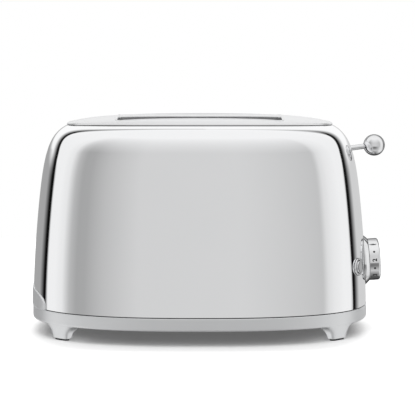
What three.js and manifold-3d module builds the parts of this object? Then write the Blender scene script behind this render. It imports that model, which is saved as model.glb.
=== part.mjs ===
// A two-slice toaster in a polished steel shell on a cast base, with its chassis, heaters and lever mechanism.
// Millimetres, +Z up. The front faces -Y, the lever end faces +X, and the feet stand on z = 0.
// The sizes come first, then the shapes that several pieces share, then a function for each piece or group.

import * as THREE from 'three';
import { mergeVertices } from 'three/addons/utils/BufferGeometryUtils.js';
import Module from 'manifold-3d';

const wasm = await Module();
wasm.setup();

// Clearances: between pieces that touch, round pieces that move, and how far every cut runs past its work
const gap = 0.3;
const runningGap = 0.6;
const overrun = 4;

// Facets round the large curved pieces, round small turned pieces and round wires
const facets = { body: 44, turned: 20, small: 10, wire: 4, arc: 2 };

const base = {
  halfLength: 155, halfDepth: 97.5, cornerPower: 2.5,
  top: 25.2, bottom: 13.3, edgeRadius: 2, edgeSteps: 3, wall: 6, deck: 2.4,
  lipHeight: 3, lipWall: 1.4, windowEndMargin: 18, windowSideMargin: 10, windowRadius: 8,
};

// Each leg is a bent block under the skirt: its middle on the outline, its width along the outline
const leg = {
  endInset: 27, halfWidth: 11.5, draft: 2.8, fillet: 8.5, depth: 11, footInset: 1.6, faceInset: 0.3,
  cornerPower: 5, bottomChamfer: 1, points: 16, filletSteps: 3,
};

const pad = { thickness: 1, margin: 1.2 };

const shell = {
  inset: 0.5, seam: 0.8, wall: 1, sideTop: 194.8, frontDrop: 2,
  sideTaperShare: 0.10, frontTaperShare: 0.09, taperPower: 1.6,
  shoulderPower: 10, wallShare: 0.85, ledge: 3.6, openingPower: 2.5,
};
// Where the rings of the shell lie: shares of the wall's height, then shares of the turn over the shoulder
const shellWallShares = [0, 0.3, 0.58, 0.82, 1];
const shellShoulderShares = [0.2, 0.38, 0.54, 0.72, 1];

const plate = {
  endInset: 16.65, sideInset: 27.77, cornerPower: 2.3, rise: 3.6, tipDrop: 6.4, frontDrop: 4.4,
  tipPower: 5, frontPower: 5, thickness: 1.4, rimRadius: 1.3, rimSteps: 2, skirt: 9, facets: 36,
};
const plateRingShares = [0.42, 0.68, 0.87];

const slot = {
  endMargin: 9, sideMargin: 18.5, halfWeb: 12, cornerRadius: 6, cornerSteps: 3, longSteps: 3, shortSteps: 1,
  beadRadius: 1.2, beadSink: 0.7, beadFacets: 5,
};
const liner = { wall: 0.7, belowTop: 26.8, headroom: 0.9 };

const cover = {
  thickness: 2, recess: 1.7, edgeGap: 0.5,
  ventHalfLength: 16, ventHalfWidth: 1.5, ventPitch: 9, ventRows: 4, ventInset: 59,
  cleatInset: 103, cleatPost: 3.5, cleatHead: 9.5, cleatHeadThickness: 2, cleatHeight: 3.5,
};
const screw = {
  endInset: 71, sideInset: 31.5, boss: 4.6, shank: 1.6, head: 3.4, headHeight: 1.6, tipRoom: 1.6,
};
const gland = { screwSpacing: 44, bore: 3.6, sleeve: 5.4, flange: 7.4, flangeThickness: 1.6, topRoom: 1.7 };

const chassis = { sheet: 1, sideMargin: 8, topRoom: 12.8, cornerRadius: 5 };
const board = {
  guardSpacing: 9.8, thickness: 0.8, aboveBase: 20.8, topRoom: 18, notchEndMargin: 21, notchHalfWidth: 2,
  notchDepth: 3,
};
const ribbon = { width: 1.6, thickness: 0.5, runs: 10, edge: 7 };

const guard = {
  slotInset: 1.8, aboveBase: 17.8, aboveBoard: 1, wire: 0.8, endMargin: 10, bars: 7, journal: 1.2,
  railShares: [0.34, 0.67, 1],
};

const lever = {
  aboveKnob: 45.2, belowTop: 24, standoff: 6.9, stem: 2.35, ball: 10, riseAngle: THREE.MathUtils.degToRad(7.5),
  ballBore: 6, slotHalfWidth: 3.3, slotRoom: 1.6,
};
const rod = {
  chassisSpacing: 18, radius: 2.5, tabHalfDepth: 9, tabTopRoom: 4.5, tabThickness: 1.5, tabReach: 7,
};
const slide = {
  height: 20, wall: 4.5, barThickness: 3, barHeight: 8, barEndRadius: 3, armHalfWidth: 5, armRadius: 3, arm: 2,
};
const rack = {
  thickness: 1.2, height: 8, aboveSlide: 4, fingers: 6, fingerSideMargin: 4.2, fingerThickness: 1.2,
  fingerWidth: 2.5, fingerEndMargin: 18, leftReach: 3,
};
const spring = { radius: 5.4, wire: 0.6, turns: 11, stepsPerTurn: 8, sides: 5 };
const keeper = { overhang: 0.6, halfDepth: 12, thickness: 2 };
const magnet = {
  boardSpacing: 1.85, rodSpacing: 14, thickness: 9, halfDepth: 11, height: 20.2, pole: 4, yoke: 4, coilWall: 2.4,
  coilMargin: 1.5,
};

const knob = {
  aboveBase: 38.4, radius: 19.4, height: 10.1, edgeRadius: 2.2, wall: 2, dish: 0.5, hub: 5.4, shaft: 3,
  shaftIn: 7.5,
};
const boss = { foot: 23.2, top: 20.4, height: 3.5, shellHole: 5 };
const pot = { radius: 8.5, thickness: 7, depth: 4.5 };
const circuit = {
  buttonRoom: 13.4, thickness: 1.6, edge: 0.6, top: 28, switchSide: 3.5, switchHeight: 3,
  relayHalf: 7, relayHeight: 9, relayY: 20, relayDrop: 22,
};
const button = {
  knobSpacing: 21.8, bezel: 8, sleeve: 6.7, cap: 5.6, lip: 1.5, capProud: 1.1, travel: 1.5,
  sleeveDepth: 7, plunger: 2.2, edge: 0.6,
};
const terminal = {
  chassisSpacing: 11, sideInset: 14, halfLength: 6, halfDepth: 10, height: 15, screws: 3, well: 1.8, wellDepth: 6,
};

const tray = {
  sideInset: 43.5, frontOverlap: 10, endRoom: 6, height: 9, sheet: 0.8, frontHeight: 17, frontPower: 3,
  proud: 1, frontThickness: 2.4, archPoints: 16,
};

// Steps, in millimetres and in radians, over which a slope is measured
const probe = { wall: 0.3, turn: 0.01 };

// Sizes and places that follow from those above. The outside comes first: the shell on the base, the plate on it.
const shellBottom = base.top + shell.seam;
shell.halfLength = base.halfLength - shell.inset;
shell.halfDepth = base.halfDepth - shell.inset;
shell.frontTop = shell.sideTop - shell.frontDrop;
plate.halfLength = shell.halfLength * (1 - shell.sideTaperShare) - plate.endInset;
plate.halfDepth = shell.halfDepth * (1 - shell.frontTaperShare) - plate.sideInset;
plate.crest = shell.sideTop + plate.rise;
shell.openingHalfLength = plate.halfLength - shell.ledge;
shell.openingHalfDepth = plate.halfDepth - shell.ledge;
slot.halfWidth = (plate.halfDepth - slot.sideMargin - slot.halfWeb) / 2;
slot.centre = slot.halfWeb + slot.halfWidth;
liner.bottom = shell.sideTop - liner.belowTop;
leg.middleX = base.halfLength - leg.endInset;
cover.bottom = base.bottom + cover.recess;
screw.x = base.halfLength - screw.endInset;
screw.y = base.halfDepth - screw.sideInset;
screw.tip = base.top - base.deck - screw.tipRoom;
tray.frontHalfWidth = base.halfDepth - tray.sideInset;
tray.halfWidth = tray.frontHalfWidth - tray.frontOverlap;

// Across the bread chamber, from the slots outward
guard.offset = slot.halfWidth - guard.slotInset;
board.y = slot.centre + guard.offset + board.guardSpacing;
chassis.halfDepth = board.y + chassis.sideMargin;

// Along it, from the lever end inward: control board, magnet, guide rod, end plate
knob.z = base.top + knob.aboveBase;
button.y = boss.foot + button.knobSpacing;
const knobPlace = endWall(0, knob.z);
const buttonPlace = endWall(button.y, knob.z);
circuit.depth = knobPlace.normal.dot(knobPlace.point.clone().sub(buttonPlace.point)) + circuit.buttonRoom;
circuit.backX = knobPlace.point.x - (circuit.depth + circuit.thickness) * knobPlace.normal.x
  - circuit.top * knobPlace.normal.z;
magnet.x = circuit.backX - magnet.boardSpacing - magnet.thickness;
rod.x = magnet.x - magnet.rodSpacing;
chassis.innerX = rod.x - rod.chassisSpacing;
slot.halfLength = chassis.innerX - slot.endMargin;
guard.halfLength = chassis.innerX - guard.endMargin;
board.notchHalfSpan = chassis.innerX - board.notchEndMargin;
tray.rightX = chassis.innerX - tray.endRoom;
lever.ballX = shell.halfLength + lever.standoff;

// Upward, from the deck to the top plate
lever.ballZ = shell.sideTop - lever.belowTop;
lever.travel = lever.ballZ - knob.z - lever.aboveKnob;
magnet.top = base.top + gap + magnet.height;
slide.bottom = magnet.top + gap + lever.travel;
rack.top = slide.bottom + rack.aboveSlide;
chassis.top = shell.sideTop - chassis.topRoom;
rod.tabTop = chassis.top - rod.tabTopRoom;
board.bottom = base.top + board.aboveBase;
board.top = chassis.top - board.topRoom;
guard.hingeZ = base.top + guard.aboveBase;
guard.height = board.top + guard.aboveBoard - guard.hingeZ;

const finish = {
  chrome: new THREE.MeshStandardMaterial({ color: 0xe4e6e8, roughness: 0.06, metalness: 1 }),
  satinSilver: new THREE.MeshStandardMaterial({ color: 0xc9cacc, roughness: 0.42, metalness: 0.75 }),
  zincSteel: new THREE.MeshStandardMaterial({ color: 0xa9adb2, roughness: 0.4, metalness: 0.9 }),
  rubber: new THREE.MeshStandardMaterial({ color: 0x232324, roughness: 0.85, metalness: 0 }),
  mica: new THREE.MeshStandardMaterial({ color: 0xc3b48c, roughness: 0.6, metalness: 0 }),
  nichrome: new THREE.MeshStandardMaterial({ color: 0x7f7a74, roughness: 0.45, metalness: 0.9 }),
  copper: new THREE.MeshStandardMaterial({ color: 0xb06b3c, roughness: 0.4, metalness: 0.9 }),
  circuitGreen: new THREE.MeshStandardMaterial({ color: 0x2f5a3a, roughness: 0.5, metalness: 0 }),
  blackPlastic: new THREE.MeshStandardMaterial({ color: 0x26272a, roughness: 0.5, metalness: 0 }),
};

// Shapes that several pieces share

const Z_TO_X = new THREE.Matrix4().makeBasis(
  new THREE.Vector3(0, 1, 0), new THREE.Vector3(0, 0, 1), new THREE.Vector3(1, 0, 0));
const Z_TO_FRONT = new THREE.Matrix4().makeBasis(
  new THREE.Vector3(1, 0, 0), new THREE.Vector3(0, 0, 1), new THREE.Vector3(0, -1, 0));

/** Welds a geometry's corners, drops its flat triangles and turns its faces outward. */
function weld(geometry) {
  const bare = geometry.clone();
  bare.deleteAttribute('normal');
  bare.deleteAttribute('uv');
  const welded = mergeVertices(bare);
  const corners = welded.index.array;
  const place = welded.attributes.position;
  const [a, b, c] = [new THREE.Vector3(), new THREE.Vector3(), new THREE.Vector3()];
  const kept = [];
  let volume = 0;
  for (let i = 0; i < corners.length; i += 3) {
    const [p, q, r] = corners.slice(i, i + 3);
    if (p === q || q === r || r === p) continue;
    kept.push([p, q, r]);
    b.fromBufferAttribute(place, q).cross(c.fromBufferAttribute(place, r));
    volume += a.fromBufferAttribute(place, p).dot(b);
  }
  welded.setIndex(kept.flatMap(([p, q, r]) => (volume < 0 ? [p, r, q] : [p, q, r])));
  return welded;
}

/** A geometry as a solid that can be joined and cut. */
function solid(geometry) {
  const welded = weld(geometry);
  return new wasm.Manifold(new wasm.Mesh({
    numProp: 3,
    vertProperties: new Float32Array(welded.attributes.position.array),
    triVerts: new Uint32Array(welded.index.array),
  }));
}

/** A joined or cut solid as a geometry. */
function surface(shape) {
  const mesh = shape.getMesh();
  const geometry = new THREE.BufferGeometry();
  geometry.setAttribute('position', new THREE.BufferAttribute(mesh.vertProperties, 3));
  geometry.setIndex(new THREE.BufferAttribute(mesh.triVerts, 1));
  return geometry;
}

/** Joins rings of points into one closed surface. A ring of one point is a tip; a loop runs back to the start. */
function loft(rings, loop = false) {
  const starts = [];
  const points = [];
  for (const ring of rings) {
    starts.push(points.length);
    points.push(...ring);
  }
  const index = [];
  const bands = loop ? rings.length : rings.length - 1;
  for (let r = 0; r < bands; r++) {
    const next = (r + 1) % rings.length;
    const count = Math.max(rings[r].length, rings[next].length);
    for (let i = 0; i < count; i++) {
      const corner = (ring, step) => starts[ring] + (rings[ring].length === 1 ? 0 : step % count);
      index.push(corner(r, i), corner(r, i + 1), corner(next, i + 1));
      index.push(corner(r, i), corner(next, i + 1), corner(next, i));
    }
  }
  const geometry = new THREE.BufferGeometry().setFromPoints(points);
  geometry.setIndex(index);
  return weld(geometry);
}

/** The middle of a ring, as a ring of one point that closes a loft with a flat end. */
function tip(ring) {
  const middle = new THREE.Vector3();
  for (const point of ring) middle.addScaledVector(point, 1 / ring.length);
  return [middle];
}

function capped(rings) {
  return loft([tip(rings[0]), ...rings, tip(rings[rings.length - 1])]);
}

/** A cosine or sine raised for a superellipse, with its sign kept. */
function raised(value, power) {
  return Math.sign(value) * Math.abs(value) ** (2 / power);
}

/** A ring at one height whose outline is a superellipse. */
function planRing(halfLength, halfDepth, power, z, count = facets.body) {
  return Array.from({ length: count }, (_, i) => {
    const turn = (i / count) * 2 * Math.PI;
    return new THREE.Vector3(
      halfLength * raised(Math.cos(turn), power), halfDepth * raised(Math.sin(turn), power), z);
  });
}

function baseRing(inset, z) {
  return planRing(base.halfLength - inset, base.halfDepth - inset, base.cornerPower, z);
}

function extruded(shape, depth, curveSegments = facets.arc) {
  return new THREE.ExtrudeGeometry(shape, { depth, bevelEnabled: false, curveSegments });
}

/** A shape drawn in Y and Z, extruded from one x to another. */
function alongX(shape, fromX, toX) {
  return extruded(shape, toX - fromX).applyMatrix4(Z_TO_X).translate(fromX, 0, 0);
}

/** A shape drawn in X and Z, extruded between two y values. */
function alongY(shape, fromY, toY) {
  return extruded(shape, toY - fromY).applyMatrix4(Z_TO_FRONT).translate(0, toY, 0);
}

/** A shape drawn in X and Y, extruded from one z to another. */
function alongZ(shape, fromZ, toZ) {
  return extruded(shape, toZ - fromZ).translate(0, 0, fromZ);
}

/** A profile of [radius, height] corners turned round Z. */
function turned(profile, segments = facets.turned) {
  const points = profile.map(([radius, height]) => new THREE.Vector2(radius, height));
  return weld(new THREE.LatheGeometry(points, segments).rotateX(Math.PI / 2));
}

function cylinder(radius, fromZ, toZ, segments = facets.small) {
  return turned([[0, fromZ], [radius, fromZ], [radius, toZ], [0, toZ]], segments);
}

function tube(outer, inner, fromZ, toZ, segments = facets.turned) {
  return turned([[inner, fromZ], [outer, fromZ], [outer, toZ], [inner, toZ], [inner, fromZ]], segments);
}

function box(lowX, highX, lowY, highY, lowZ, highZ) {
  const block = new THREE.BoxGeometry(highX - lowX, highY - lowY, highZ - lowZ);
  return block.translate((lowX + highX) / 2, (lowY + highY) / 2, (lowZ + highZ) / 2);
}

/** A rectangle with round corners, as a shape or, for a hole, as a path. */
function roundedRectangle(halfX, halfY, radius, x = 0, y = 0, path = new THREE.Shape()) {
  const quarter = Math.PI / 2;
  path.absarc(x + halfX - radius, y - halfY + radius, radius, -quarter, 0);
  path.absarc(x + halfX - radius, y + halfY - radius, radius, 0, quarter);
  path.absarc(x - halfX + radius, y + halfY - radius, radius, quarter, 2 * quarter);
  path.absarc(x - halfX + radius, y - halfY + radius, radius, 2 * quarter, 3 * quarter);
  path.closePath();
  return path;
}

function circle(radius, x, y, path = new THREE.Path()) {
  path.absarc(x, y, radius, 0, 2 * Math.PI);
  return path;
}

const toaster = new THREE.Group();

function piece(name, geometry, material, parent = toaster) {
  const mesh = new THREE.Mesh(geometry, material);
  mesh.name = name;
  parent.add(mesh);
  return mesh;
}

const CORNERS = [['front_left', -1, -1], ['front_right', 1, -1], ['rear_left', -1, 1], ['rear_right', 1, 1]];
const SIDES = [['front', -1], ['rear', 1]];

// The shell's surface. Its walls lean in by a power of the height and turn over a shoulder, and the rings at the
// shoulder go over into the oval opening, so the length and the depth each have a meridian of their own.

/** Height and width of a meridian, as shares, at a share of the wall or of the turn over the shoulder. */
function meridianShares(share, overShoulder, openingShare) {
  const power = shell.shoulderPower;
  const widthAt = (height) => (1 - height ** power) ** (1 / power);
  if (!overShoulder) {
    return { height: share * shell.wallShare, width: widthAt(share * shell.wallShare) };
  }
  const startAngle = Math.atan2(shell.wallShare, widthAt(shell.wallShare));
  const endAngle = Math.atan2(widthAt(openingShare), openingShare);
  const angle = startAngle + share * (endAngle - startAngle);
  const reach = (Math.sin(angle) ** power + Math.cos(angle) ** power) ** (1 / power);
  return { height: Math.sin(angle) / reach, width: Math.cos(angle) / reach };
}

/** One ring of the shell's surface, moved outward by offset. */
function shellRing(share, overShoulder, offset) {
  const meridian = (half, top, taperShare, openingHalf) => {
    const shares = meridianShares(share, overShoulder, openingHalf / (half * (1 - taperShare)));
    return {
      half: (half + offset) * (1 - taperShare * shares.height ** shell.taperPower) * shares.width,
      z: shellBottom + shares.height * (top + offset - shellBottom),
    };
  };
  const side = meridian(shell.halfLength, shell.sideTop, shell.sideTaperShare, shell.openingHalfLength);
  const front = meridian(shell.halfDepth, shell.frontTop, shell.frontTaperShare, shell.openingHalfDepth);
  const ease = overShoulder ? share * share * (3 - 2 * share) : 0;
  const power = base.cornerPower + ease * (shell.openingPower - base.cornerPower);
  return planRing(side.half, front.half, power, 0).map((point, i) => {
    const sideShare = Math.cos((i / facets.body) * 2 * Math.PI) ** 2;
    return point.setZ(front.z + sideShare * (side.z - front.z));
  });
}

function shellRings(offset) {
  return [
    ...shellWallShares.map((share) => shellRing(share, false, offset)),
    ...shellShoulderShares.map((share) => shellRing(share, true, offset)),
  ];
}

/** Everything inside the shell's surface moved outward by offset, down to a given height. */
function envelope(offset, bottom = shellBottom) {
  const rings = shellRings(offset);
  const foot = rings[0].map((point) => point.clone().setZ(bottom));
  return solid(capped(bottom < shellBottom ? [foot, ...rings] : rings));
}

/** Where the shell's end wall is at a given y and z, and the way it faces. */
function endWall(y, z) {
  const xAt = (atY, atZ) => {
    const height = (atZ - shellBottom) / (shell.sideTop - shellBottom);
    const heightFront = (atZ - shellBottom) / (shell.frontTop - shellBottom);
    const width = (share) => (1 - share ** shell.shoulderPower) ** (1 / shell.shoulderPower);
    const halfX = shell.halfLength * (1 - shell.sideTaperShare * height ** shell.taperPower) * width(height);
    const halfY = shell.halfDepth * (1 - shell.frontTaperShare * heightFront ** shell.taperPower)
      * width(heightFront);
    return halfX * (1 - Math.abs(atY / halfY) ** base.cornerPower) ** (1 / base.cornerPower);
  };
  const slopeY = (xAt(y + probe.wall, z) - xAt(y - probe.wall, z)) / (2 * probe.wall);
  const slopeZ = (xAt(y, z + probe.wall) - xAt(y, z - probe.wall)) / (2 * probe.wall);
  return {
    point: new THREE.Vector3(xAt(y, z), y, z),
    normal: new THREE.Vector3(1, -slopeY, -slopeZ).normalize(),
  };
}

/** A group standing on the end wall: its +Z is the wall's outward normal, its +Y as near up as can be. */
function onEndWall(y, z) {
  const { point, normal } = endWall(y, z);
  const across = new THREE.Vector3(0, 0, 1).cross(normal).normalize();
  const group = new THREE.Group();
  group.matrix.makeBasis(across, normal.clone().cross(across), normal).setPosition(point);
  group.matrix.decompose(group.position, group.quaternion, group.scale);
  group.updateMatrixWorld();
  toaster.add(group);
  return group;
}

/** A geometry from a group's own frame, moved to the toaster's frame. */
function inPlace(geometry, group) {
  return geometry.clone().applyMatrix4(group.matrix);
}

const knobSeat = onEndWall(0, knob.z);
const buttonSeats = SIDES.map(([side, sign]) => ({ side, group: onEndWall(sign * button.y, knob.z) }));

// The base: a skirt, a deck and a locating lip for the shell, with four legs

/** A leg's section at one height, bent along the base's outline, from its faces' insets and half width. */
function legRing(xSign, ySign, outer, inner, halfWidth, z) {
  const middleTurn = Math.acos((leg.middleX / base.halfLength) ** (base.cornerPower / 2));
  const outlineAt = (turn, inset) => new THREE.Vector3(
    xSign * (base.halfLength - inset) * raised(Math.cos(turn), base.cornerPower),
    ySign * (base.halfDepth - inset) * raised(Math.sin(turn), base.cornerPower), z);
  const speed = outlineAt(middleTurn + probe.turn, 0).distanceTo(outlineAt(middleTurn - probe.turn, 0))
    / (2 * probe.turn);
  return Array.from({ length: leg.points }, (_, i) => {
    const turn = (i / leg.points) * 2 * Math.PI;
    const along = (halfWidth / speed) * raised(Math.cos(turn), leg.cornerPower);
    const inset = (outer + inner) / 2 - ((inner - outer) / 2) * raised(Math.sin(turn), leg.cornerPower);
    return outlineAt(middleTurn + along, inset);
  });
}

/** One leg, grown by a clearance where a neighbour is cut round it. */
function legSolid(xSign, ySign, grow = 0) {
  const rings = [];
  const bottom = pad.thickness + gap;
  const height = base.bottom - bottom;
  const ringAt = (z, trim = 0) => {
    const down = THREE.MathUtils.clamp((base.bottom - z) / height, 0, 1);
    const intoFillet = THREE.MathUtils.clamp(z - (base.bottom - leg.fillet), 0, leg.fillet);
    const flare = leg.fillet - Math.sqrt(leg.fillet ** 2 - intoFillet ** 2);
    const outer = leg.faceInset + down * leg.footInset + trim - grow;
    const inner = leg.faceInset + leg.depth - down * leg.draft + flare - trim + grow;
    return legRing(xSign, ySign, outer, inner, leg.halfWidth - down * leg.draft + flare - trim + grow, z);
  };
  rings.push(ringAt(bottom, leg.bottomChamfer), ringAt(bottom + leg.bottomChamfer));
  rings.push(ringAt(base.bottom - leg.fillet));
  for (let i = 1; i <= leg.filletSteps; i++) {
    rings.push(ringAt(base.bottom - leg.fillet * (1 - Math.sin((i / leg.filletSteps) * Math.PI / 2))));
  }
  rings.push(ringAt(base.top - base.deck / 2));
  return solid(capped(rings));
}

function baseFrame() {
  const profile = [[base.wall, base.bottom]];
  for (let i = 0; i <= base.edgeSteps; i++) {
    const turn = (i / base.edgeSteps) * (Math.PI / 2);
    profile.push([base.edgeRadius * (1 - Math.sin(turn)), base.bottom + base.edgeRadius * (1 - Math.cos(turn))]);
  }
  profile.push([0, base.top], [base.wall, base.top]);
  const skirt = solid(loft(profile.map(([inset, z]) => baseRing(inset, z)), true));

  const underDeck = base.top - base.deck;
  const deckInset = base.wall / 2;
  const deck = solid(capped([baseRing(deckInset, underDeck), baseRing(deckInset, base.top)]));
  const lipRing = (inset, z) => planRing(shell.halfLength - shell.wall - gap - inset,
    shell.halfDepth - shell.wall - gap - inset, base.cornerPower, z);
  const lipTop = base.top + base.lipHeight;
  const lip = solid(loft([
    lipRing(0, underDeck), lipRing(0, lipTop), lipRing(base.lipWall, lipTop), lipRing(base.lipWall, underDeck),
  ], true));
  const bosses = CORNERS.map(([, x, y]) => solid(
    cylinder(screw.boss, cover.bottom + cover.thickness + gap, base.top - base.deck / 2)
      .translate(x * screw.x, y * screw.y, 0)));
  const legs = CORNERS.map(([, x, y]) => legSolid(x, y));

  let frame = [deck, lip, ...bosses, ...legs].reduce((whole, part) => whole.add(part), skirt);
  const window = roundedRectangle(
    chassis.innerX - base.windowEndMargin, tray.halfWidth - base.windowSideMargin, base.windowRadius);
  const trayHalf = tray.frontHalfWidth + runningGap;
  const trayWay = box(-base.halfLength - overrun, -chassis.innerX, -trayHalf, trayHalf, base.top,
    lipTop + overrun);
  const cuts = [
    solid(alongZ(window, underDeck - overrun, base.top + overrun)),
    solid(trayWay),
    ...CORNERS.map(([, x, y]) => solid(
      cylinder(screw.shank + gap, cover.bottom, screw.tip + gap)
        .translate(x * screw.x, y * screw.y, 0))),
  ];
  frame = cuts.reduce((whole, cut) => whole.subtract(cut), frame);
  piece('base_frame', surface(frame), finish.satinSilver);
}

function footPads() {
  for (const [corner, x, y] of CORNERS) {
    const ringAt = (z) => legRing(x, y, leg.faceInset + leg.footInset + pad.margin,
      leg.faceInset + leg.depth - leg.draft - pad.margin, leg.halfWidth - leg.draft - pad.margin, z);
    piece(`foot_pad_${corner}`, capped([ringAt(0), ringAt(pad.thickness)]), finish.rubber);
  }
}

/** Where a row of copies lies: so many places, evenly spread over a half span to either side of the middle. */
function spread(count, halfSpan) {
  return Array.from({ length: count }, (_, i) => halfSpan * ((2 * i) / (count - 1) - 1));
}

function bottomCover() {
  const top = cover.bottom + cover.thickness;
  const inset = base.wall + cover.edgeGap;
  let shape = solid(capped([baseRing(inset, cover.bottom), baseRing(inset, top)]));
  const cleatX = base.halfLength - cover.cleatInset;
  const under = cover.cleatHeight;
  for (const x of [-cleatX, cleatX]) {
    const head = roundedRectangle(cover.cleatHead / 2, cover.cleatHead, cover.cleatPost, x, 0);
    shape = shape.add(solid(cylinder(cover.cleatPost, under, top - cover.thickness / 2).translate(x, 0, 0)));
    shape = shape.add(solid(alongZ(head, under, under + cover.cleatHeadThickness)));
  }
  const cuts = [];
  for (const [, x, y] of CORNERS) {
    cuts.push(legSolid(x, y, cover.edgeGap));
    cuts.push(solid(cylinder(screw.shank + gap, cover.bottom - overrun, top + overrun)
      .translate(x * screw.x, y * screw.y, 0)));
  }
  const ventX = base.halfLength - cover.ventInset;
  for (const x of [-ventX, ventX]) {
    for (const y of spread(cover.ventRows, (cover.ventPitch * (cover.ventRows - 1)) / 2)) {
      const vent = roundedRectangle(cover.ventHalfLength, cover.ventHalfWidth, cover.ventHalfWidth, x, y);
      cuts.push(solid(alongZ(vent, cover.bottom - overrun, top + overrun)));
    }
  }
  const hole = cylinder(gland.sleeve + gap, cover.bottom - overrun, top + overrun);
  cuts.push(solid(hole.translate(gland.screwSpacing - screw.x, screw.y, 0)));
  piece('bottom_cover', surface(cuts.reduce((whole, cut) => whole.subtract(cut), shape)), finish.blackPlastic);
}

function bottomScrews() {
  for (const [corner, x, y] of CORNERS) {
    const under = cover.bottom - gap;
    const low = under - screw.headHeight;
    const profile = [
      [0, low], [screw.head - screw.headHeight / 2, low], [screw.head, low + screw.headHeight / 2],
      [screw.head, under], [screw.shank, under], [screw.shank, screw.tip], [0, screw.tip],
    ];
    const mesh = piece(`bottom_screw_${corner}`, turned(profile, facets.small), finish.zincSteel);
    mesh.position.set(x * screw.x, y * screw.y, 0);
  }
}

function cordGland() {
  const under = cover.bottom - gap;
  const low = under - gland.flangeThickness;
  const top = base.top - base.deck - gland.topRoom;
  const profile = [[gland.bore, low], [gland.flange, low], [gland.flange, under], [gland.sleeve, under],
    [gland.sleeve, top], [gland.bore, top], [gland.bore, low]];
  const mesh = piece('cord_gland', turned(profile, facets.small), finish.rubber);
  mesh.position.set(gland.screwSpacing - screw.x, screw.y, 0);
}

// The shell and the top plate

/** The low arch of the crumb tray's front, drawn in Y and Z and grown by a clearance. */
function trayArch(grow, floor) {
  const points = [];
  for (let i = 0; i <= tray.archPoints; i++) {
    const turn = (i / tray.archPoints) * Math.PI;
    points.push(new THREE.Vector2(
      (tray.frontHalfWidth + grow) * raised(Math.cos(turn), tray.frontPower),
      base.top + gap + (tray.frontHeight + grow) * raised(Math.sin(turn), tray.frontPower)));
  }
  points.push(new THREE.Vector2(-tray.frontHalfWidth - grow, floor));
  points.push(new THREE.Vector2(tray.frontHalfWidth + grow, floor));
  return new THREE.Shape(points);
}

/** The height of the stem's middle line at a given x, with the lever up. */
function stemHeight(x) {
  return lever.ballZ + (x - lever.ballX) * Math.tan(lever.riseAngle);
}

function outerShell() {
  const outside = shellRings(0);
  const inside = shellRings(-shell.wall).reverse();
  let skin = solid(loft([...outside, ...inside], true));

  const room = lever.stem + lever.slotRoom;
  const slotTop = stemHeight(endWall(0, lever.ballZ).point.x) + room;
  const slotBottom = stemHeight(endWall(0, lever.ballZ - lever.travel).point.x) - lever.travel - room;
  const leverSlot = roundedRectangle(lever.slotHalfWidth, (slotTop - slotBottom) / 2, lever.slotHalfWidth,
    0, (slotTop + slotBottom) / 2);
  const cuts = [
    alongX(leverSlot, chassis.innerX, base.halfLength + overrun),
    alongX(trayArch(gap, base.top - overrun), -base.halfLength - overrun, -chassis.innerX),
    inPlace(cylinder(boss.shellHole, -overrun, overrun), knobSeat),
    ...buttonSeats.map(({ group }) => inPlace(
      cylinder(button.sleeve + gap, -overrun, overrun, facets.turned), group)),
  ];
  for (const cut of cuts) skin = skin.subtract(solid(cut));
  piece('outer_shell', surface(skin), finish.chrome);
}

/** The height of the top plate's upper face, crowned across the slots and falling away to the two tips. */
function plateTop(x, y) {
  const alongShare = Math.abs(x / plate.halfLength) ** plate.cornerPower;
  const acrossShare = Math.abs(y / plate.halfDepth) ** plate.cornerPower;
  const radiusShare = (alongShare + acrossShare) ** (1 / plate.cornerPower);
  const tipward = radiusShare > 0 ? alongShare / (alongShare + acrossShare) : 0;
  const drop = plate.tipDrop * tipward + plate.frontDrop * (1 - tipward);
  return plate.crest - drop * radiusShare ** (plate.tipPower * tipward + plate.frontPower * (1 - tipward));
}

/** A bread slot's outline, its straight sides divided too: points, and the way out of the slot at each. */
function slotOutline() {
  const points = [];
  const innerX = slot.halfLength - slot.cornerRadius;
  const innerY = slot.halfWidth - slot.cornerRadius;
  const quarters = [[1, 1], [-1, 1], [-1, -1], [1, -1]];
  quarters.forEach(([xSign, ySign], quarter) => {
    for (let i = 0; i <= slot.cornerSteps; i++) {
      const turn = (quarter + i / slot.cornerSteps) * (Math.PI / 2);
      const way = new THREE.Vector2(Math.cos(turn), Math.sin(turn));
      const place = new THREE.Vector2(xSign * innerX, ySign * innerY).addScaledVector(way, slot.cornerRadius);
      points.push({ place, way });
    }
    const from = points[points.length - 1];
    const [nextX, nextY] = quarters[(quarter + 1) % quarters.length];
    const to = new THREE.Vector2(nextX * innerX, nextY * innerY).addScaledVector(from.way, slot.cornerRadius);
    const steps = quarter % 2 === 0 ? slot.longSteps : slot.shortSteps;
    for (let i = 1; i <= steps; i++) {
      points.push({ place: from.place.clone().lerp(to, i / (steps + 1)), way: from.way });
    }
  });
  return points;
}

/** A section of [outward, z] corners carried round a bread slot, its heights found at each point. */
function roundSlot(centreY, sectionAt) {
  const outline = slotOutline();
  const sections = outline.map(({ place }) => sectionAt(place.x, place.y + centreY));
  const rings = sections[0].map((_, corner) => outline.map(({ place, way }, i) => {
    const [outward, z] = sections[i][corner];
    return new THREE.Vector3(place.x + way.x * outward, centreY + place.y + way.y * outward, z);
  }));
  return loft(rings, true);
}

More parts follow.
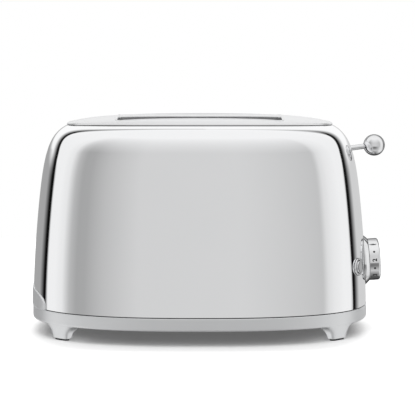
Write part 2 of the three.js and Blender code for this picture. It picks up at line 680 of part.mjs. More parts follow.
function topPlate() {
  const ringAt = (inset, lift) => planRing(
    plate.halfLength - inset, plate.halfDepth - inset, plate.cornerPower, 0, plate.facets)
    .map((point) => point.setZ(plateTop(point.x, point.y) + lift));
  const ringAtShare = (share, lift) => planRing(plate.halfLength * share, plate.halfDepth * share,
    plate.cornerPower, 0, plate.facets)
    .map((point) => point.setZ(plateTop(point.x, point.y) + lift));
  const middle = (lift) => [new THREE.Vector3(0, 0, plate.crest + lift)];
  const shares = plateRingShares;
  const rimRings = Array.from({ length: plate.rimSteps + 1 }, (_, step) => {
    const turn = (step / plate.rimSteps) * (Math.PI / 2);
    return ringAt(plate.rimRadius * (1 - Math.sin(turn)), -plate.rimRadius * (1 - Math.cos(turn)));
  });
  const skin = loft([
    middle(0), ...shares.map((share) => ringAtShare(share, 0)), ...rimRings,
    ringAt(0, -plate.skirt), ringAt(plate.thickness, -plate.skirt), ringAt(plate.thickness, -plate.thickness),
    ...shares.slice().reverse().map((share) => ringAtShare(share, -plate.thickness)),
    middle(-plate.thickness),
  ]);
  let shape = solid(skin).subtract(envelope(gap));
  for (const sign of [-1, 1]) {
    const opening = roundedRectangle(slot.halfLength, slot.halfWidth, slot.cornerRadius, 0, sign * slot.centre);
    shape = shape.subtract(solid(alongZ(opening, plate.crest - plate.skirt, plate.crest + overrun)));
    const bead = roundSlot(sign * slot.centre, (x, y) => Array.from({ length: slot.beadFacets }, (_, i) => {
      const turn = (i / slot.beadFacets) * 2 * Math.PI;
      const z = plateTop(x, y) - slot.beadSink + slot.beadRadius * Math.sin(turn);
      return [slot.beadRadius * (Math.cos(turn) + 1 / 2), z];
    }));
    shape = shape.add(solid(bead));
  }
  piece('top_plate', surface(shape), finish.satinSilver);
}

function slotLiners() {
  for (const [side, sign] of SIDES) {
    const inner = slot.beadRadius;
    const outer = inner + liner.wall;
    const geometry = roundSlot(sign * slot.centre, (x, y) => {
      const top = plateTop(x, y) - plate.thickness - liner.headroom;
      return [[inner, liner.bottom], [outer, liner.bottom], [outer, top], [inner, top]];
    });
    piece(`slot_liner_${side}`, geometry, finish.zincSteel);
  }
}

// The bread chamber: end plates, heater boards and ribbons, and the guards

const guardPlaces = SIDES.flatMap(([side, sign]) => [
  { name: `guard_${side}_outer`, y: sign * (slot.centre + guard.offset) },
  { name: `guard_${side}_inner`, y: sign * (slot.centre - guard.offset) },
]);

function endPlates() {
  const bottom = base.top + gap;
  for (const [end, sign] of [['left', -1], ['right', 1]]) {
    const shape = roundedRectangle(chassis.halfDepth, (chassis.top - bottom) / 2, chassis.cornerRadius,
      0, (chassis.top + bottom) / 2);
    const rackTop = rack.top + runningGap;
    const rackBottom = rack.top - rack.height - lever.travel - runningGap;
    for (const y of [-slot.centre, slot.centre]) {
      const halfWidth = rack.thickness / 2 + runningGap;
      shape.holes.push(roundedRectangle(
        halfWidth, (rackTop - rackBottom) / 2, halfWidth, y, (rackTop + rackBottom) / 2, new THREE.Path()));
    }
    for (const { y } of guardPlaces) shape.holes.push(circle(guard.wire + gap, y, guard.hingeZ));
    const inner = sign * chassis.innerX;
    const outer = sign * (chassis.innerX + chassis.sheet);
    let sheet = solid(alongX(shape, Math.min(inner, outer), Math.max(inner, outer)));
    if (sign < 0) {
      const halfWay = tray.halfWidth + runningGap + gap;
      sheet = sheet.subtract(solid(box(outer - overrun, inner + overrun, -halfWay, halfWay,
        bottom - overrun, bottom + tray.height + runningGap)));
    } else {
      const tabEnd = rod.x + rod.tabReach;
      const tab = box(inner + chassis.sheet / 2, tabEnd, -rod.tabHalfDepth, rod.tabHalfDepth,
        rod.tabTop - rod.tabThickness, rod.tabTop);
      const hole = cylinder(rod.radius + gap, rod.tabTop - overrun, rod.tabTop + overrun)
        .translate(rod.x, 0, 0);
      sheet = sheet.add(solid(tab)).subtract(solid(hole));
    }
    piece(`end_plate_${end}`, surface(sheet), finish.zincSteel);
  }
}

/** A heater board drawn in X and Z, with notches along its top and bottom edges where the ribbon goes round. */
function boardShape() {
  const halfLength = chassis.innerX - gap;
  const notches = spread(ribbon.runs, board.notchHalfSpan);
  const points = [];
  for (const [z, inward, places] of [[board.bottom, 1, notches], [board.top, -1, [...notches].reverse()]]) {
    const way = Math.sign(places[1] - places[0]);
    points.push(new THREE.Vector2(-way * halfLength, z));
    for (const x of places) {
      points.push(new THREE.Vector2(x - way * board.notchHalfWidth, z));
      points.push(new THREE.Vector2(x, z + inward * board.notchDepth));
      points.push(new THREE.Vector2(x + way * board.notchHalfWidth, z));
    }
    points.push(new THREE.Vector2(way * halfLength, z));
  }
  return new THREE.Shape(points);
}

/** An even band along a line whose bends are square. */
function band(points, half) {
  const sideways = (from, to) => new THREE.Vector2(from.y - to.y, to.x - from.x).normalize();
  const offsets = points.map((point, i) => {
    const offset = new THREE.Vector2();
    if (i > 0) offset.add(sideways(points[i - 1], point));
    if (i < points.length - 1) offset.add(sideways(point, points[i + 1]));
    return offset.multiplyScalar(half);
  });
  const left = points.map((point, i) => point.clone().add(offsets[i]));
  const right = points.map((point, i) => point.clone().sub(offsets[i]));
  return new THREE.Shape([...left, ...right.reverse()]);
}

/** The ribbon's way up and down the board, drawn in X and Z. */
function ribbonShape() {
  const [low, high] = [board.bottom + ribbon.edge, board.top - ribbon.edge];
  const line = spread(ribbon.runs, board.notchHalfSpan).flatMap((x, i) => {
    const ends = [new THREE.Vector2(x, low), new THREE.Vector2(x, high)];
    return i % 2 === 0 ? ends : ends.reverse();
  });
  return band(line, ribbon.width / 2);
}

function heaters() {
  const half = board.thickness / 2;
  for (const [name, y] of [['front', -board.y], ['centre', 0], ['rear', board.y]]) {
    piece(`heater_board_${name}`, alongY(boardShape(), y - half, y + half), finish.mica);
  }
  const faces = [['front', -board.y, 1], ['centre_front', 0, -1], ['centre_rear', 0, 1], ['rear', board.y, -1]];
  for (const [name, y, way] of faces) {
    const near = y + way * (half + gap);
    const far = near + way * ribbon.thickness;
    const ribbonBand = alongY(ribbonShape(), Math.min(near, far), Math.max(near, far));
    piece(`heater_ribbon_${name}`, ribbonBand, finish.nichrome);
  }
}

/** A wire grid that hangs on its lowest wire, whose ends turn in the two end plates. */
function guardGeometry() {
  const wire = (length) => new THREE.CylinderGeometry(guard.wire, guard.wire, length, facets.wire);
  const across = (halfLength, z) => solid(wire(2 * halfLength).rotateZ(Math.PI / 2).translate(0, 0, z));
  let grid = across(chassis.innerX + chassis.sheet + guard.journal, 0);
  for (const share of guard.railShares) grid = grid.add(across(guard.halfLength, share * guard.height));
  for (const x of spread(guard.bars, guard.halfLength - 2 * guard.wire)) {
    grid = grid.add(solid(wire(guard.height).rotateX(Math.PI / 2).translate(x, 0, guard.height / 2)));
  }
  return surface(grid);
}

function guards() {
  const geometry = guardGeometry();
  for (const { name, y } of guardPlaces) {
    piece(name, geometry, finish.zincSteel).position.set(0, y, guard.hingeZ);
  }
}

// The lever mechanism, drawn with the lever up

const slideOuter = rod.radius + gap + slide.wall;
const slideTop = slide.bottom + slide.height;
const armX = rod.x + slideOuter;
const barX = chassis.innerX + chassis.sheet + guard.journal + gap;
const armTop = stemHeight(armX) + slide.armHalfWidth;

/** A bush on the guide rod, with a bar that carries the racks and an arm that carries the lever. */
function carriageSlide() {
  const bush = tube(slideOuter, rod.radius + gap, slide.bottom, slideTop).translate(rod.x, 0, 0);
  const bar = roundedRectangle(slot.centre + slide.barEndRadius, slide.barHeight / 2, slide.barEndRadius,
    0, slide.bottom + slide.barHeight / 2);
  const arm = roundedRectangle(slide.armHalfWidth, (armTop - slide.bottom) / 2, slide.armRadius,
    0, (armTop + slide.bottom) / 2);
  const web = box(barX + slide.barThickness / 2, rod.x, -slide.armHalfWidth, slide.armHalfWidth,
    slide.bottom, slide.bottom + slide.barHeight);
  const bore = cylinder(rod.radius + gap, slide.bottom - overrun, slideTop + overrun, facets.turned)
    .translate(rod.x, 0, 0);
  const crossbar = alongX(bar, barX, barX + slide.barThickness);
  const upright = alongX(arm, armX - slide.wall / 2, armX + slide.arm);
  const shape = [crossbar, upright, web].reduce((whole, part) => whole.add(solid(part)), solid(bush))
    .subtract(solid(bore));
  piece('carriage_slide', surface(shape), finish.zincSteel);
}

function keeperPlate() {
  const near = armX + slide.arm + gap;
  const far = magnet.x + magnet.thickness + keeper.overhang;
  const shape = roundedRectangle((far - near) / 2, keeper.halfDepth, keeper.thickness, (near + far) / 2, 0);
  piece('keeper_plate', alongZ(shape, slide.bottom, slide.bottom + keeper.thickness), finish.zincSteel);
}

/** A rack is an upright strip through both end plates, with fingers across it that the slice stands on. */
function breadRacks() {
  const left = -chassis.innerX - chassis.sheet - rack.leftReach;
  const right = barX - gap;
  for (const [side, sign] of SIDES) {
    const y = sign * slot.centre;
    const half = rack.thickness / 2;
    const strip = roundedRectangle((right - left) / 2, rack.height / 2, rack.height / 4, (right + left) / 2,
      rack.top - rack.height / 2);
    const reach = guard.offset - rack.fingerSideMargin;
    const width = rack.fingerWidth / 2;
    const fingers = spread(rack.fingers, chassis.innerX - rack.fingerEndMargin).map((x) => box(
      x - width, x + width, y - reach, y + reach, rack.top - rack.fingerThickness, rack.top));
    const bar = solid(alongY(strip, y - half, y + half));
    const shape = fingers.reduce((whole, finger) => whole.add(solid(finger)), bar);
    piece(`bread_rack_${side}`, surface(shape), finish.zincSteel);
  }
}

/** The stem and its ball share a frame with its +Z along the stem and its origin at the ball's middle. */
function leverPieces() {
  const group = new THREE.Group();
  group.position.set(lever.ballX, 0, lever.ballZ);
  group.rotation.y = Math.PI / 2 - lever.riseAngle;
  toaster.add(group);

  const room = (lever.stem * Math.sin(lever.riseAngle) + gap) / Math.cos(lever.riseAngle);
  const inner = -(lever.ballX - armX - slide.arm) / Math.cos(lever.riseAngle) + room;
  const end = -lever.ball + lever.ballBore;
  piece('lever_stem', cylinder(lever.stem, inner, end, facets.small), finish.chrome, group);
  const sphere = new THREE.SphereGeometry(lever.ball, facets.turned, facets.small).rotateX(Math.PI / 2);
  const bore = cylinder(lever.stem + gap, -lever.ball - overrun, end + gap);
  piece('lever_ball', surface(solid(sphere).subtract(solid(bore))), finish.chrome, group);
}

function guideRod() {
  const top = rod.tabTop + gap;
  piece('guide_rod', cylinder(rod.radius, base.top + gap, top + rod.radius), finish.zincSteel).position.x = rod.x;
}

/** A wire wound round the rod, as one tube with a ring of corners at each step of the helix. */
function returnSpring() {
  const low = base.top + gap + spring.wire;
  const high = slide.bottom - gap - spring.wire;
  const steps = spring.turns * spring.stepsPerTurn;
  const rings = Array.from({ length: steps + 1 }, (_, i) => {
    const turn = (i / spring.stepsPerTurn) * 2 * Math.PI;
    const outward = new THREE.Vector3(Math.cos(turn), Math.sin(turn), 0);
    const middle = outward.clone().multiplyScalar(spring.radius).setZ(low + (high - low) * (i / steps));
    return Array.from({ length: spring.sides }, (_, side) => {
      const around = (side / spring.sides) * 2 * Math.PI;
      return middle.clone().addScaledVector(outward, spring.wire * Math.cos(around))
        .add(new THREE.Vector3(0, 0, spring.wire * Math.sin(around)));
    });
  });
  piece('return_spring', capped(rings), finish.zincSteel).position.x = rod.x;
}

/** An E of steel sheets on the deck, with a coil on its middle leg. The keeper comes down on its three legs. */
function holdingMagnet() {
  const bottom = base.top + gap;
  const top = magnet.top;
  const outline = [[-magnet.halfDepth, bottom], [magnet.halfDepth, bottom], [magnet.halfDepth, top],
    [magnet.halfDepth - magnet.pole, top], [magnet.halfDepth - magnet.pole, bottom + magnet.yoke],
    [magnet.pole / 2, bottom + magnet.yoke], [magnet.pole / 2, top], [-magnet.pole / 2, top],
    [-magnet.pole / 2, bottom + magnet.yoke], [magnet.pole - magnet.halfDepth, bottom + magnet.yoke],
    [magnet.pole - magnet.halfDepth, top], [-magnet.halfDepth, top]];
  const shape = new THREE.Shape(outline.map(([y, z]) => new THREE.Vector2(y, z)));
  piece('magnet_core', alongX(shape, magnet.x, magnet.x + magnet.thickness), finish.zincSteel);

  const halfX = magnet.thickness / 2 + gap;
  const halfY = magnet.pole / 2 + gap;
  const wall = magnet.coilWall;
  const coil = roundedRectangle(halfX + wall, halfY + wall, wall, magnet.x + magnet.thickness / 2, 0);
  const hole = roundedRectangle(halfX, halfY, gap, magnet.x + magnet.thickness / 2, 0, new THREE.Path());
  coil.holes.push(hole);
  piece('magnet_coil', alongZ(coil, bottom + magnet.yoke + gap, top - magnet.coilMargin), finish.copper);
}

// The control side: the circuit board, the browning knob and the buttons

/** The middle of a plunger's end, whose slanted edge just clears the switch when the button is pressed. */
function plungerEnd(group) {
  const axis = new THREE.Vector3().setFromMatrixColumn(group.matrix, 2);
  const outward = new THREE.Vector3().setFromMatrixColumn(knobSeat.matrix, 2);
  const seat = new THREE.Vector3().setFromMatrixPosition(group.matrix);
  const middle = new THREE.Vector3().setFromMatrixPosition(knobSeat.matrix);
  const slant = axis.angleTo(outward);
  const room = button.travel * Math.cos(slant) + button.plunger * Math.sin(slant) + gap;
  const end = circuit.switchHeight + room - circuit.depth;
  const reach = (seat.clone().sub(middle).dot(outward) - end) / Math.cos(slant);
  return seat.addScaledVector(axis, -reach);
}

/** The board stands parallel to the end wall behind the knob, down to the deck, with a relay and two switches. */
function controlBoard() {
  const face = -circuit.depth;
  const back = face - circuit.thickness;
  const lean = Math.asin(knobSeat.matrix.elements[10]);
  const drop = (knob.z + back * Math.sin(lean) - base.top - gap) / Math.cos(lean);
  const toBoard = knobSeat.matrix.clone().invert();
  const aims = buttonSeats.map(({ group }) => plungerEnd(group).applyMatrix4(toBoard));
  const halfWidth = Math.max(...aims.map((aim) => aim.x)) + circuit.switchSide + circuit.edge;
  const outline = roundedRectangle(
    halfWidth, (circuit.top + drop) / 2, circuit.edge, 0, (circuit.top - drop) / 2);
  let shape = solid(alongZ(outline, back, face));
  const half = circuit.relayHalf;
  const relay = box(-circuit.relayY - half, -circuit.relayY + half, -circuit.relayDrop - half,
    -circuit.relayDrop + half, face - gap, face + circuit.relayHeight);
  shape = shape.add(solid(relay));
  for (const aim of aims) {
    const side = circuit.switchSide;
    shape = shape.add(solid(box(aim.x - side, aim.x + side, aim.y - side, aim.y + side, face - gap,
      face + circuit.switchHeight)));
  }
  piece('control_board', surface(shape), finish.circuitGreen, knobSeat);
}

function browningPot() {
  const low = gap - circuit.depth;
  const high = low + pot.thickness;
  const well = high - pot.depth;
  const profile = [
    [0, low], [pot.radius, low], [pot.radius, high],
    [knob.shaft + gap, high], [knob.shaft + gap, well], [0, well],
  ];
  piece('browning_pot', turned(profile), finish.zincSteel, knobSeat);
  const shaft = cylinder(knob.shaft, well + gap, boss.height + gap + knob.shaftIn);
  piece('knob_shaft', shaft, finish.zincSteel, knobSeat);
}

/** The raised ring that the knob turns on, cut behind to the curve of the wall. */
function knobEscutcheon() {
  const bore = knob.shaft + gap;
  const profile = [[bore, -overrun], [boss.foot, -overrun], [boss.foot, 0], [boss.top, boss.height],
    [bore, boss.height], [bore, -overrun]];
  const ring = solid(inPlace(turned(profile), knobSeat)).subtract(envelope(gap));
  piece('knob_escutcheon', surface(ring), finish.chrome);
}

/** A cup with a rounded rim and a hub for the shaft, open behind. */
function browningKnob() {
  const low = boss.height + gap;
  const high = low + knob.height;
  const edge = knob.edgeRadius;
  const innerFloor = high - edge - knob.dish;
  const profile = [[0, high - knob.dish], [knob.radius - 2 * edge, high - knob.dish]];
  for (let i = 0; i <= facets.arc; i++) {
    const turn = (i / facets.arc) * (Math.PI / 2);
    profile.push([knob.radius - edge * (1 - Math.sin(turn)), high - edge * (1 - Math.cos(turn))]);
  }
  const shaftTop = low + knob.shaftIn + gap;
  profile.push(
    [knob.radius, low], [knob.radius - knob.wall, low], [knob.radius - knob.wall, innerFloor],
    [knob.hub, innerFloor], [knob.hub, low],
    [knob.shaft + gap, low], [knob.shaft + gap, shaftTop], [0, shaftTop]);
  piece('browning_knob', turned(profile), finish.chrome, knobSeat);
}

/** Each button slides in a bezel, a flange cut to the curve of the wall with a sleeve through it. */
function buttons() {
  for (const { side, group } of buttonSeats) {
    const bore = button.cap + gap;
    const flange = [[bore, -overrun], [button.bezel, -overrun], [button.bezel, button.lip - button.edge],
      [button.bezel - button.edge, button.lip], [bore, button.lip], [bore, -overrun]];
    const sleeve = inPlace(tube(button.sleeve, bore, -button.sleeveDepth, button.lip - button.edge), group);
    const bezel = solid(inPlace(turned(flange), group)).subtract(envelope(gap)).add(solid(sleeve));
    piece(`button_bezel_${side}`, surface(bezel), finish.chrome);

    const top = button.lip + button.capProud;
    const back = -button.sleeveDepth / 2;
    const plungerBack = plungerEnd(group).applyMatrix4(group.matrix.clone().invert()).z;
    const cap = [[0, plungerBack], [button.plunger, plungerBack], [button.plunger, back], [button.cap, back],
      [button.cap, top - button.edge], [button.cap - button.edge, top], [0, top]];
    piece(`button_cap_${side}`, turned(cap), finish.chrome, group);
  }
}

function terminalBlock() {
  const bottom = base.top + gap;
  const top = bottom + terminal.height;
  const x = chassis.innerX + terminal.chassisSpacing;
  const y = chassis.halfDepth - terminal.sideInset;
  let block = solid(box(x - terminal.halfLength, x + terminal.halfLength,
    y - terminal.halfDepth, y + terminal.halfDepth, bottom, top));
  for (const step of spread(terminal.screws, terminal.halfDepth - 2 * terminal.well)) {
    block = block.subtract(solid(cylinder(terminal.well, top - terminal.wellDepth, top + overrun)
      .translate(x, y + step, 0)));
  }
  piece('terminal_block', surface(block), finish.blackPlastic);
}

// The crumb tray slides out to the left on the deck

function crumbTray() {
  const bottom = base.top + gap;
  const behindFront = tray.frontThickness - tray.proud + gap;
  const pan = (sheet) => solid(box(-base.halfLength - overrun, tray.rightX - sheet, sheet - tray.halfWidth,
    tray.halfWidth - sheet, bottom + sheet, bottom + tray.height + (sheet > 0 ? overrun : 0)))
    .intersect(envelope(-behindFront - sheet, bottom - overrun));
  piece('crumb_tray', surface(pan(0).subtract(pan(tray.sheet))), finish.zincSteel);

  const arch = solid(alongX(trayArch(0, base.top + gap), -base.halfLength - overrun, -chassis.innerX));
  const front = arch.intersect(envelope(tray.proud, base.top))
    .subtract(envelope(tray.proud - tray.frontThickness, base.top - overrun));
  piece('crumb_tray_front', surface(front), finish.satinSilver);
}

baseFrame();
footPads();
bottomCover();
bottomScrews();
cordGland();
outerShell();
topPlate();
slotLiners();
endPlates();
heaters();
guards();
carriageSlide();
keeperPlate();
breadRacks();
leverPieces();
guideRod();
returnSpring();
holdingMagnet();
controlBoard();
browningPot();
knobEscutcheon();
browningKnob();
buttons();
terminalBlock();
crumbTray();

// The origin is under the middle of the whole length, from the tray's front to the lever's ball
toaster.position.x = (shell.halfLength + tray.proud - lever.ballX - lever.ball) / 2;

export default toaster;
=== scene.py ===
# %% [markdown]
# # A two-slice toaster in polished steel
#
# The solids of this toaster come from a drawing that is already finished: every piece is in its place, in metres,
# and moves with the body it belongs to. This lesson dresses them. Pieces whose outline shows in the picture are built
# again with more and rounder faces, and each one takes the place of its plain solid. Every other piece keeps its
# solid and gets a finish. The drawing gives sizes in millimetres, so the lesson thinks in millimetres too.

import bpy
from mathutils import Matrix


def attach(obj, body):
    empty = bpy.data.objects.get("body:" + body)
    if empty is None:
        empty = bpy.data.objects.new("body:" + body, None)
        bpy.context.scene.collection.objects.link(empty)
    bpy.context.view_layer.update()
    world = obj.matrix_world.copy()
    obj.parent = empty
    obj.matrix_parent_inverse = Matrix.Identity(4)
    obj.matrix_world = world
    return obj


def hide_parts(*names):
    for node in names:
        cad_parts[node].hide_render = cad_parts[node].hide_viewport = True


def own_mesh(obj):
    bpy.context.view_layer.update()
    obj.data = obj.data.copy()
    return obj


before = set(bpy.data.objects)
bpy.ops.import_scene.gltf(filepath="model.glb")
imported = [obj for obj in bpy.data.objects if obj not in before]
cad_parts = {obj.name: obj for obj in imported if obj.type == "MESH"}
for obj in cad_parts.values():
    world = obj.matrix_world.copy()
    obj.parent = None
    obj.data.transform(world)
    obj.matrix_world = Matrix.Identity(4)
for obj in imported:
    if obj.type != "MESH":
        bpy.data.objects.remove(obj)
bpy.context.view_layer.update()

# %% Tools that Blender brings along
import math

import bmesh
import bpy
from mathutils import Matrix, Vector
from mathutils.bvhtree import BVHTree
from mathutils.interpolate import poly_3d_calc

# %% [markdown]
# ## From the drawing to the scene
#
# The drawing's own middle is the middle of the base, while the scene's is the middle of the whole length with the
# lever and the tray. One small function turns a point of the drawing into a point of the scene, so that no other
# line has to know about the shift or about metres.

# %% One point of the drawing
MM = 0.001
base_middle = -7.95


def place(x, y, z):
    return Vector((x + base_middle, y, z)) * MM


print("the base's middle is at", place(0, 0, 0))

# %% [markdown]
# ## The camera
#
# The picture was taken from a little above, from about a metre and a half, with a long lens: the base's front edge
# is almost straight, and only a thin strip of the top plate shows. A camera's place could be found by trying, but a
# few corners of the object whose sizes are known give it by sums: the distance from how much smaller the rear slot
# is than the front one, the height from how far apart the two look.

# %% Set up the camera
camera_distance = 1.5
camera_height = 0.2842
camera_side = 0.00043
camera_pitch = math.radians(6.53)
camera_turn = math.radians(0.047)
lens_length = 140.8

camera_data = bpy.data.cameras.new("camera")
camera_data.lens = lens_length
camera_data.sensor_width = 36
camera = bpy.data.objects.new("camera", camera_data)
camera.location = (camera_side, -camera_distance, camera_height)
camera.rotation_euler = (math.pi / 2 - camera_pitch, 0, camera_turn)
bpy.context.scene.collection.objects.link(camera)
bpy.context.scene.camera = camera
bpy.context.scene.view_settings.view_transform = "Standard"
print("the lens sees", round(math.degrees(camera_data.angle), 2), "degrees")

# %% [markdown]
# ## Nodes and colours
#
# Finishes and the studio are made of nodes. Adding a node always takes the same three steps: make it, change its
# settings, and give each input a value or a link. One function does all three. Colours are written as they are seen
# on a screen, in hex, while a shader counts light, so another function turns one into the other.

# %% Add a node
def add(tree, kind, settings=(), inputs=()):
    node = tree.nodes.new(kind)
    for name, value in dict(settings).items():
        setattr(node, name, value)
    for socket, value in dict(inputs).items():
        if isinstance(value, bpy.types.NodeSocket):
            tree.links.new(value, node.inputs[socket])
        else:
            node.inputs[socket].default_value = value
    return node


# %% Turn a screen colour into light
def light_of(hex_colour):
    channels = [int(hex_colour[i:i + 2], 16) / 255 for i in (1, 3, 5)]
    return tuple(c / 12.92 if c <= 0.04045 else ((c + 0.055) / 1.055) ** 2.4 for c in channels) + (1.0,)


print("middle grey is", round(light_of("#808080")[0], 3), "of white")

# %% [markdown]
# ## The studio
#
# Polished steel has hardly a colour of its own: it shows the room. The room in the picture is a light tent. Its front
# curtain, which the camera looks out of, is a soft grey that is darkest at its left edge. White walls stand to the
# left and right. Where each wall ends, beside and a little behind the toaster, a narrow gap lets the dark room show,
# and high up the gaps lean back until the ceiling covers them. Past each gap the wall goes on, light on the right and
# grey on the left. Real cards could be hung round the toaster, but cards near it would be seen from other sides and
# would slide as the camera moves. The world's own background is simpler:
# it is infinitely far away, so what is seen in a direction depends on the direction alone, which the nodes can work
# out as an azimuth, from the camera's side round to either hand, and an elevation.

# %% The direction of a ray, in degrees
world = bpy.data.worlds.new("light_tent")
bpy.context.scene.world = world
world.use_nodes = True
tent = world.node_tree
tent.nodes.clear()

ray = add(tent, "ShaderNodeTexCoord").outputs["Generated"]
axes = add(tent, "ShaderNodeSeparateXYZ", inputs={0: ray})
toward_camera = add(tent, "ShaderNodeMath", {"operation": "MULTIPLY"}, {0: axes.outputs["Y"], 1: -1.0})
turn = add(tent, "ShaderNodeMath", {"operation": "ARCTAN2"}, {0: axes.outputs["X"], 1: toward_camera.outputs[0]})
azimuth = add(tent, "ShaderNodeMath", {"operation": "DEGREES"}, {0: turn.outputs[0]}).outputs[0]
lift = add(tent, "ShaderNodeMath", {"operation": "ARCSINE"}, {0: axes.outputs["Z"]})
elevation = add(tent, "ShaderNodeMath", {"operation": "DEGREES"}, {0: lift.outputs[0]}).outputs[0]
height_squared = add(tent, "ShaderNodeMath", {"operation": "MULTIPLY"}, {0: elevation, 1: elevation})


# %% A band of tones along a direction
def tones(value, stops, low, high):
    share = add(tent, "ShaderNodeMapRange", inputs={"Value": value, "From Min": low, "From Max": high})
    ramp = add(tent, "ShaderNodeValToRGB", inputs={0: share.outputs[0]})
    elements = ramp.color_ramp.elements
    while len(elements) < len(stops):
        elements.new(0.5)
    for element, (at, tone) in zip(elements, sorted(stops.items())):
        element.position = (at - low) / (high - low)
        element.color = light_of(tone)
    return ramp.outputs["Color"]


# %% The curtain and the walls, round the horizon
curtain = tones(azimuth, {
    -90: "#F4F4F4", -78: "#EBEBEB", -68: "#BBBBBB", -60: "#A8A8A8", -52: "#AAAAAA", -38: "#BFBFBF", -18: "#D4D4D4",
    10: "#D6D6D6", 35: "#CDCDCD", 60: "#C5C5C5", 66: "#E0E0E0", 74: "#EBEBEB", 90: "#F4F4F4"}, -180, 180)

# %% The table in front, which the toaster shades, and the backdrop behind
table = tones(azimuth, {
    -95: "#F3F3F3", -60: "#F3F3F3", -40: "#E5E5E5", -14: "#858585", 0: "#787878", 14: "#858585", 40: "#B7B7B7",
    70: "#E5E5E5", 95: "#EFEFEF"}, -180, 180)
table_share = tones(elevation, {-60: "#000000", -30: "#FFFFFF", -17: "#FFFFFF", -10: "#000000"}, -90, 90)
in_front = add(tent, "ShaderNodeMix", {"data_type": "RGBA"}, {"Factor": table_share, "A": curtain, "B": table})
backdrop = tones(elevation, {
    -90: "#6B6B6B", -76: "#5C5C5C", -64: "#5C5C5C", -30: "#737373", -9: "#969696", -2: "#ADADAD", 3: "#DCDCDC",
    8: "#FFFFFF", 40: "#FFFFFF"}, -90, 90)

# %% The two sides, which are not quite alike: the tent stands a little askew and leans to the left
askew_angle, askew_lean = 1.0, 0.0022
askew = add(tent, "ShaderNodeMath", {"operation": "MULTIPLY_ADD"},
            {0: height_squared.outputs[0], 1: askew_lean, 2: askew_angle})
turned_azimuth = add(tent, "ShaderNodeMath", {"operation": "ADD"}, {0: azimuth, 1: askew.outputs[0]})
side_azimuth = add(tent, "ShaderNodeMath", {"operation": "ABSOLUTE"}, {0: turned_azimuth.outputs[0]}).outputs[0]
behind = tones(side_azimuth, {120: "#000000", 150: "#FFFFFF"}, 0, 180)
round_about = add(tent, "ShaderNodeMix", {"data_type": "RGBA"},
                  {"Factor": behind, "A": in_front.outputs["Result"], "B": backdrop})

# %% The wall past each gap: light on the right, grey on the left
far_wall = tones(turned_azimuth.outputs[0], {-2: "#A6A6A6", 2: "#D2D2D2"}, -180, 180)
far_wall_low = tones(elevation, {-30: "#000000", -14: "#FFFFFF", 3: "#FFFFFF", 9: "#000000"}, -90, 90)
far_wall_side = tones(side_azimuth, {104: "#000000", 107: "#FFFFFF", 166: "#FFFFFF", 177: "#000000"}, 0, 180)
far_wall_share = add(tent, "ShaderNodeMath", {"operation": "MULTIPLY"}, {0: far_wall_low, 1: far_wall_side})
horizon = add(tent, "ShaderNodeMix", {"data_type": "RGBA"},
              {"Factor": far_wall_share.outputs[0], "A": round_about.outputs["Result"], "B": far_wall})
straight_down = tones(elevation, {-90: "#707070", -78: "#909090", -62: "#C0C0C0", -45: "#FFFFFF"}, -90, 90)
shaded = add(tent, "ShaderNodeMix", {"data_type": "RGBA", "blend_type": "DARKEN"},
             {"Factor": 1.0, "A": horizon.outputs["Result"], "B": straight_down})

# %% The ceiling, which the curtain's tones fade into
ceiling_share = tones(elevation, {24: "#000000", 66: "#FFFFFF"}, -90, 90)
walls = add(tent, "ShaderNodeMix", {"data_type": "RGBA"},
            {"Factor": ceiling_share, "A": shaded.outputs["Result"], "B": light_of("#F8F8F8")})

# %% The two dark gaps, which lean back with height
gap_azimuth, gap_lean, gap_narrowing = 106.3, 0.021, -0.0095
lean = add(tent, "ShaderNodeMath", {"operation": "MULTIPLY"}, {0: height_squared.outputs[0], 1: gap_lean})
beside_gap = add(tent, "ShaderNodeMath", {"operation": "SUBTRACT"}, {0: side_azimuth, 1: lean.outputs[0]})
past_edge = add(tent, "ShaderNodeMath", {"operation": "SUBTRACT"}, {0: beside_gap.outputs[0], 1: gap_azimuth})
narrowing = add(tent, "ShaderNodeMath", {"operation": "MULTIPLY_ADD"}, {0: elevation, 1: gap_narrowing, 2: 1.0})
across_gap = add(tent, "ShaderNodeMath", {"operation": "MULTIPLY"}, {0: past_edge.outputs[0], 1: narrowing.outputs[0]})
gap = tones(across_gap.outputs[0], {
    0: "#FFFFFF", 2: "#101010", 7.7: "#202020", 12.7: "#A0A0A0", 21.7: "#FFFFFF"}, -90, 90)
gap_fade = tones(elevation, {-30: "#FFFFFF", -12: "#000000", 38: "#000000", 50: "#FFFFFF"}, -90, 90)
gap_shade = add(tent, "ShaderNodeMix", {"data_type": "RGBA", "blend_type": "LIGHTEN"},
                {"Factor": 1.0, "A": gap, "B": gap_fade})
tent_light = add(tent, "ShaderNodeMix", {"data_type": "RGBA", "blend_type": "MULTIPLY"},
                 {"Factor": 1.0, "A": walls.outputs["Result"], "B": gap_shade.outputs["Result"]})

# %% White for the camera, the tent for everything else
camera_ray = add(tent, "ShaderNodeLightPath").outputs["Is Camera Ray"]
white_card = add(tent, "ShaderNodeBackground", inputs={"Color": (1, 1, 1, 1), "Strength": 1.0})
lit_tent = add(tent, "ShaderNodeBackground", inputs={"Color": tent_light.outputs["Result"], "Strength": 1.0})
seen = add(tent, "ShaderNodeMixShader", inputs={0: camera_ray, 1: lit_tent.outputs[0], 2: white_card.outputs[0]})
add(tent, "ShaderNodeOutputWorld", inputs={"Surface": seen.outputs[0]})
print("the studio has", len(tent.nodes), "nodes")

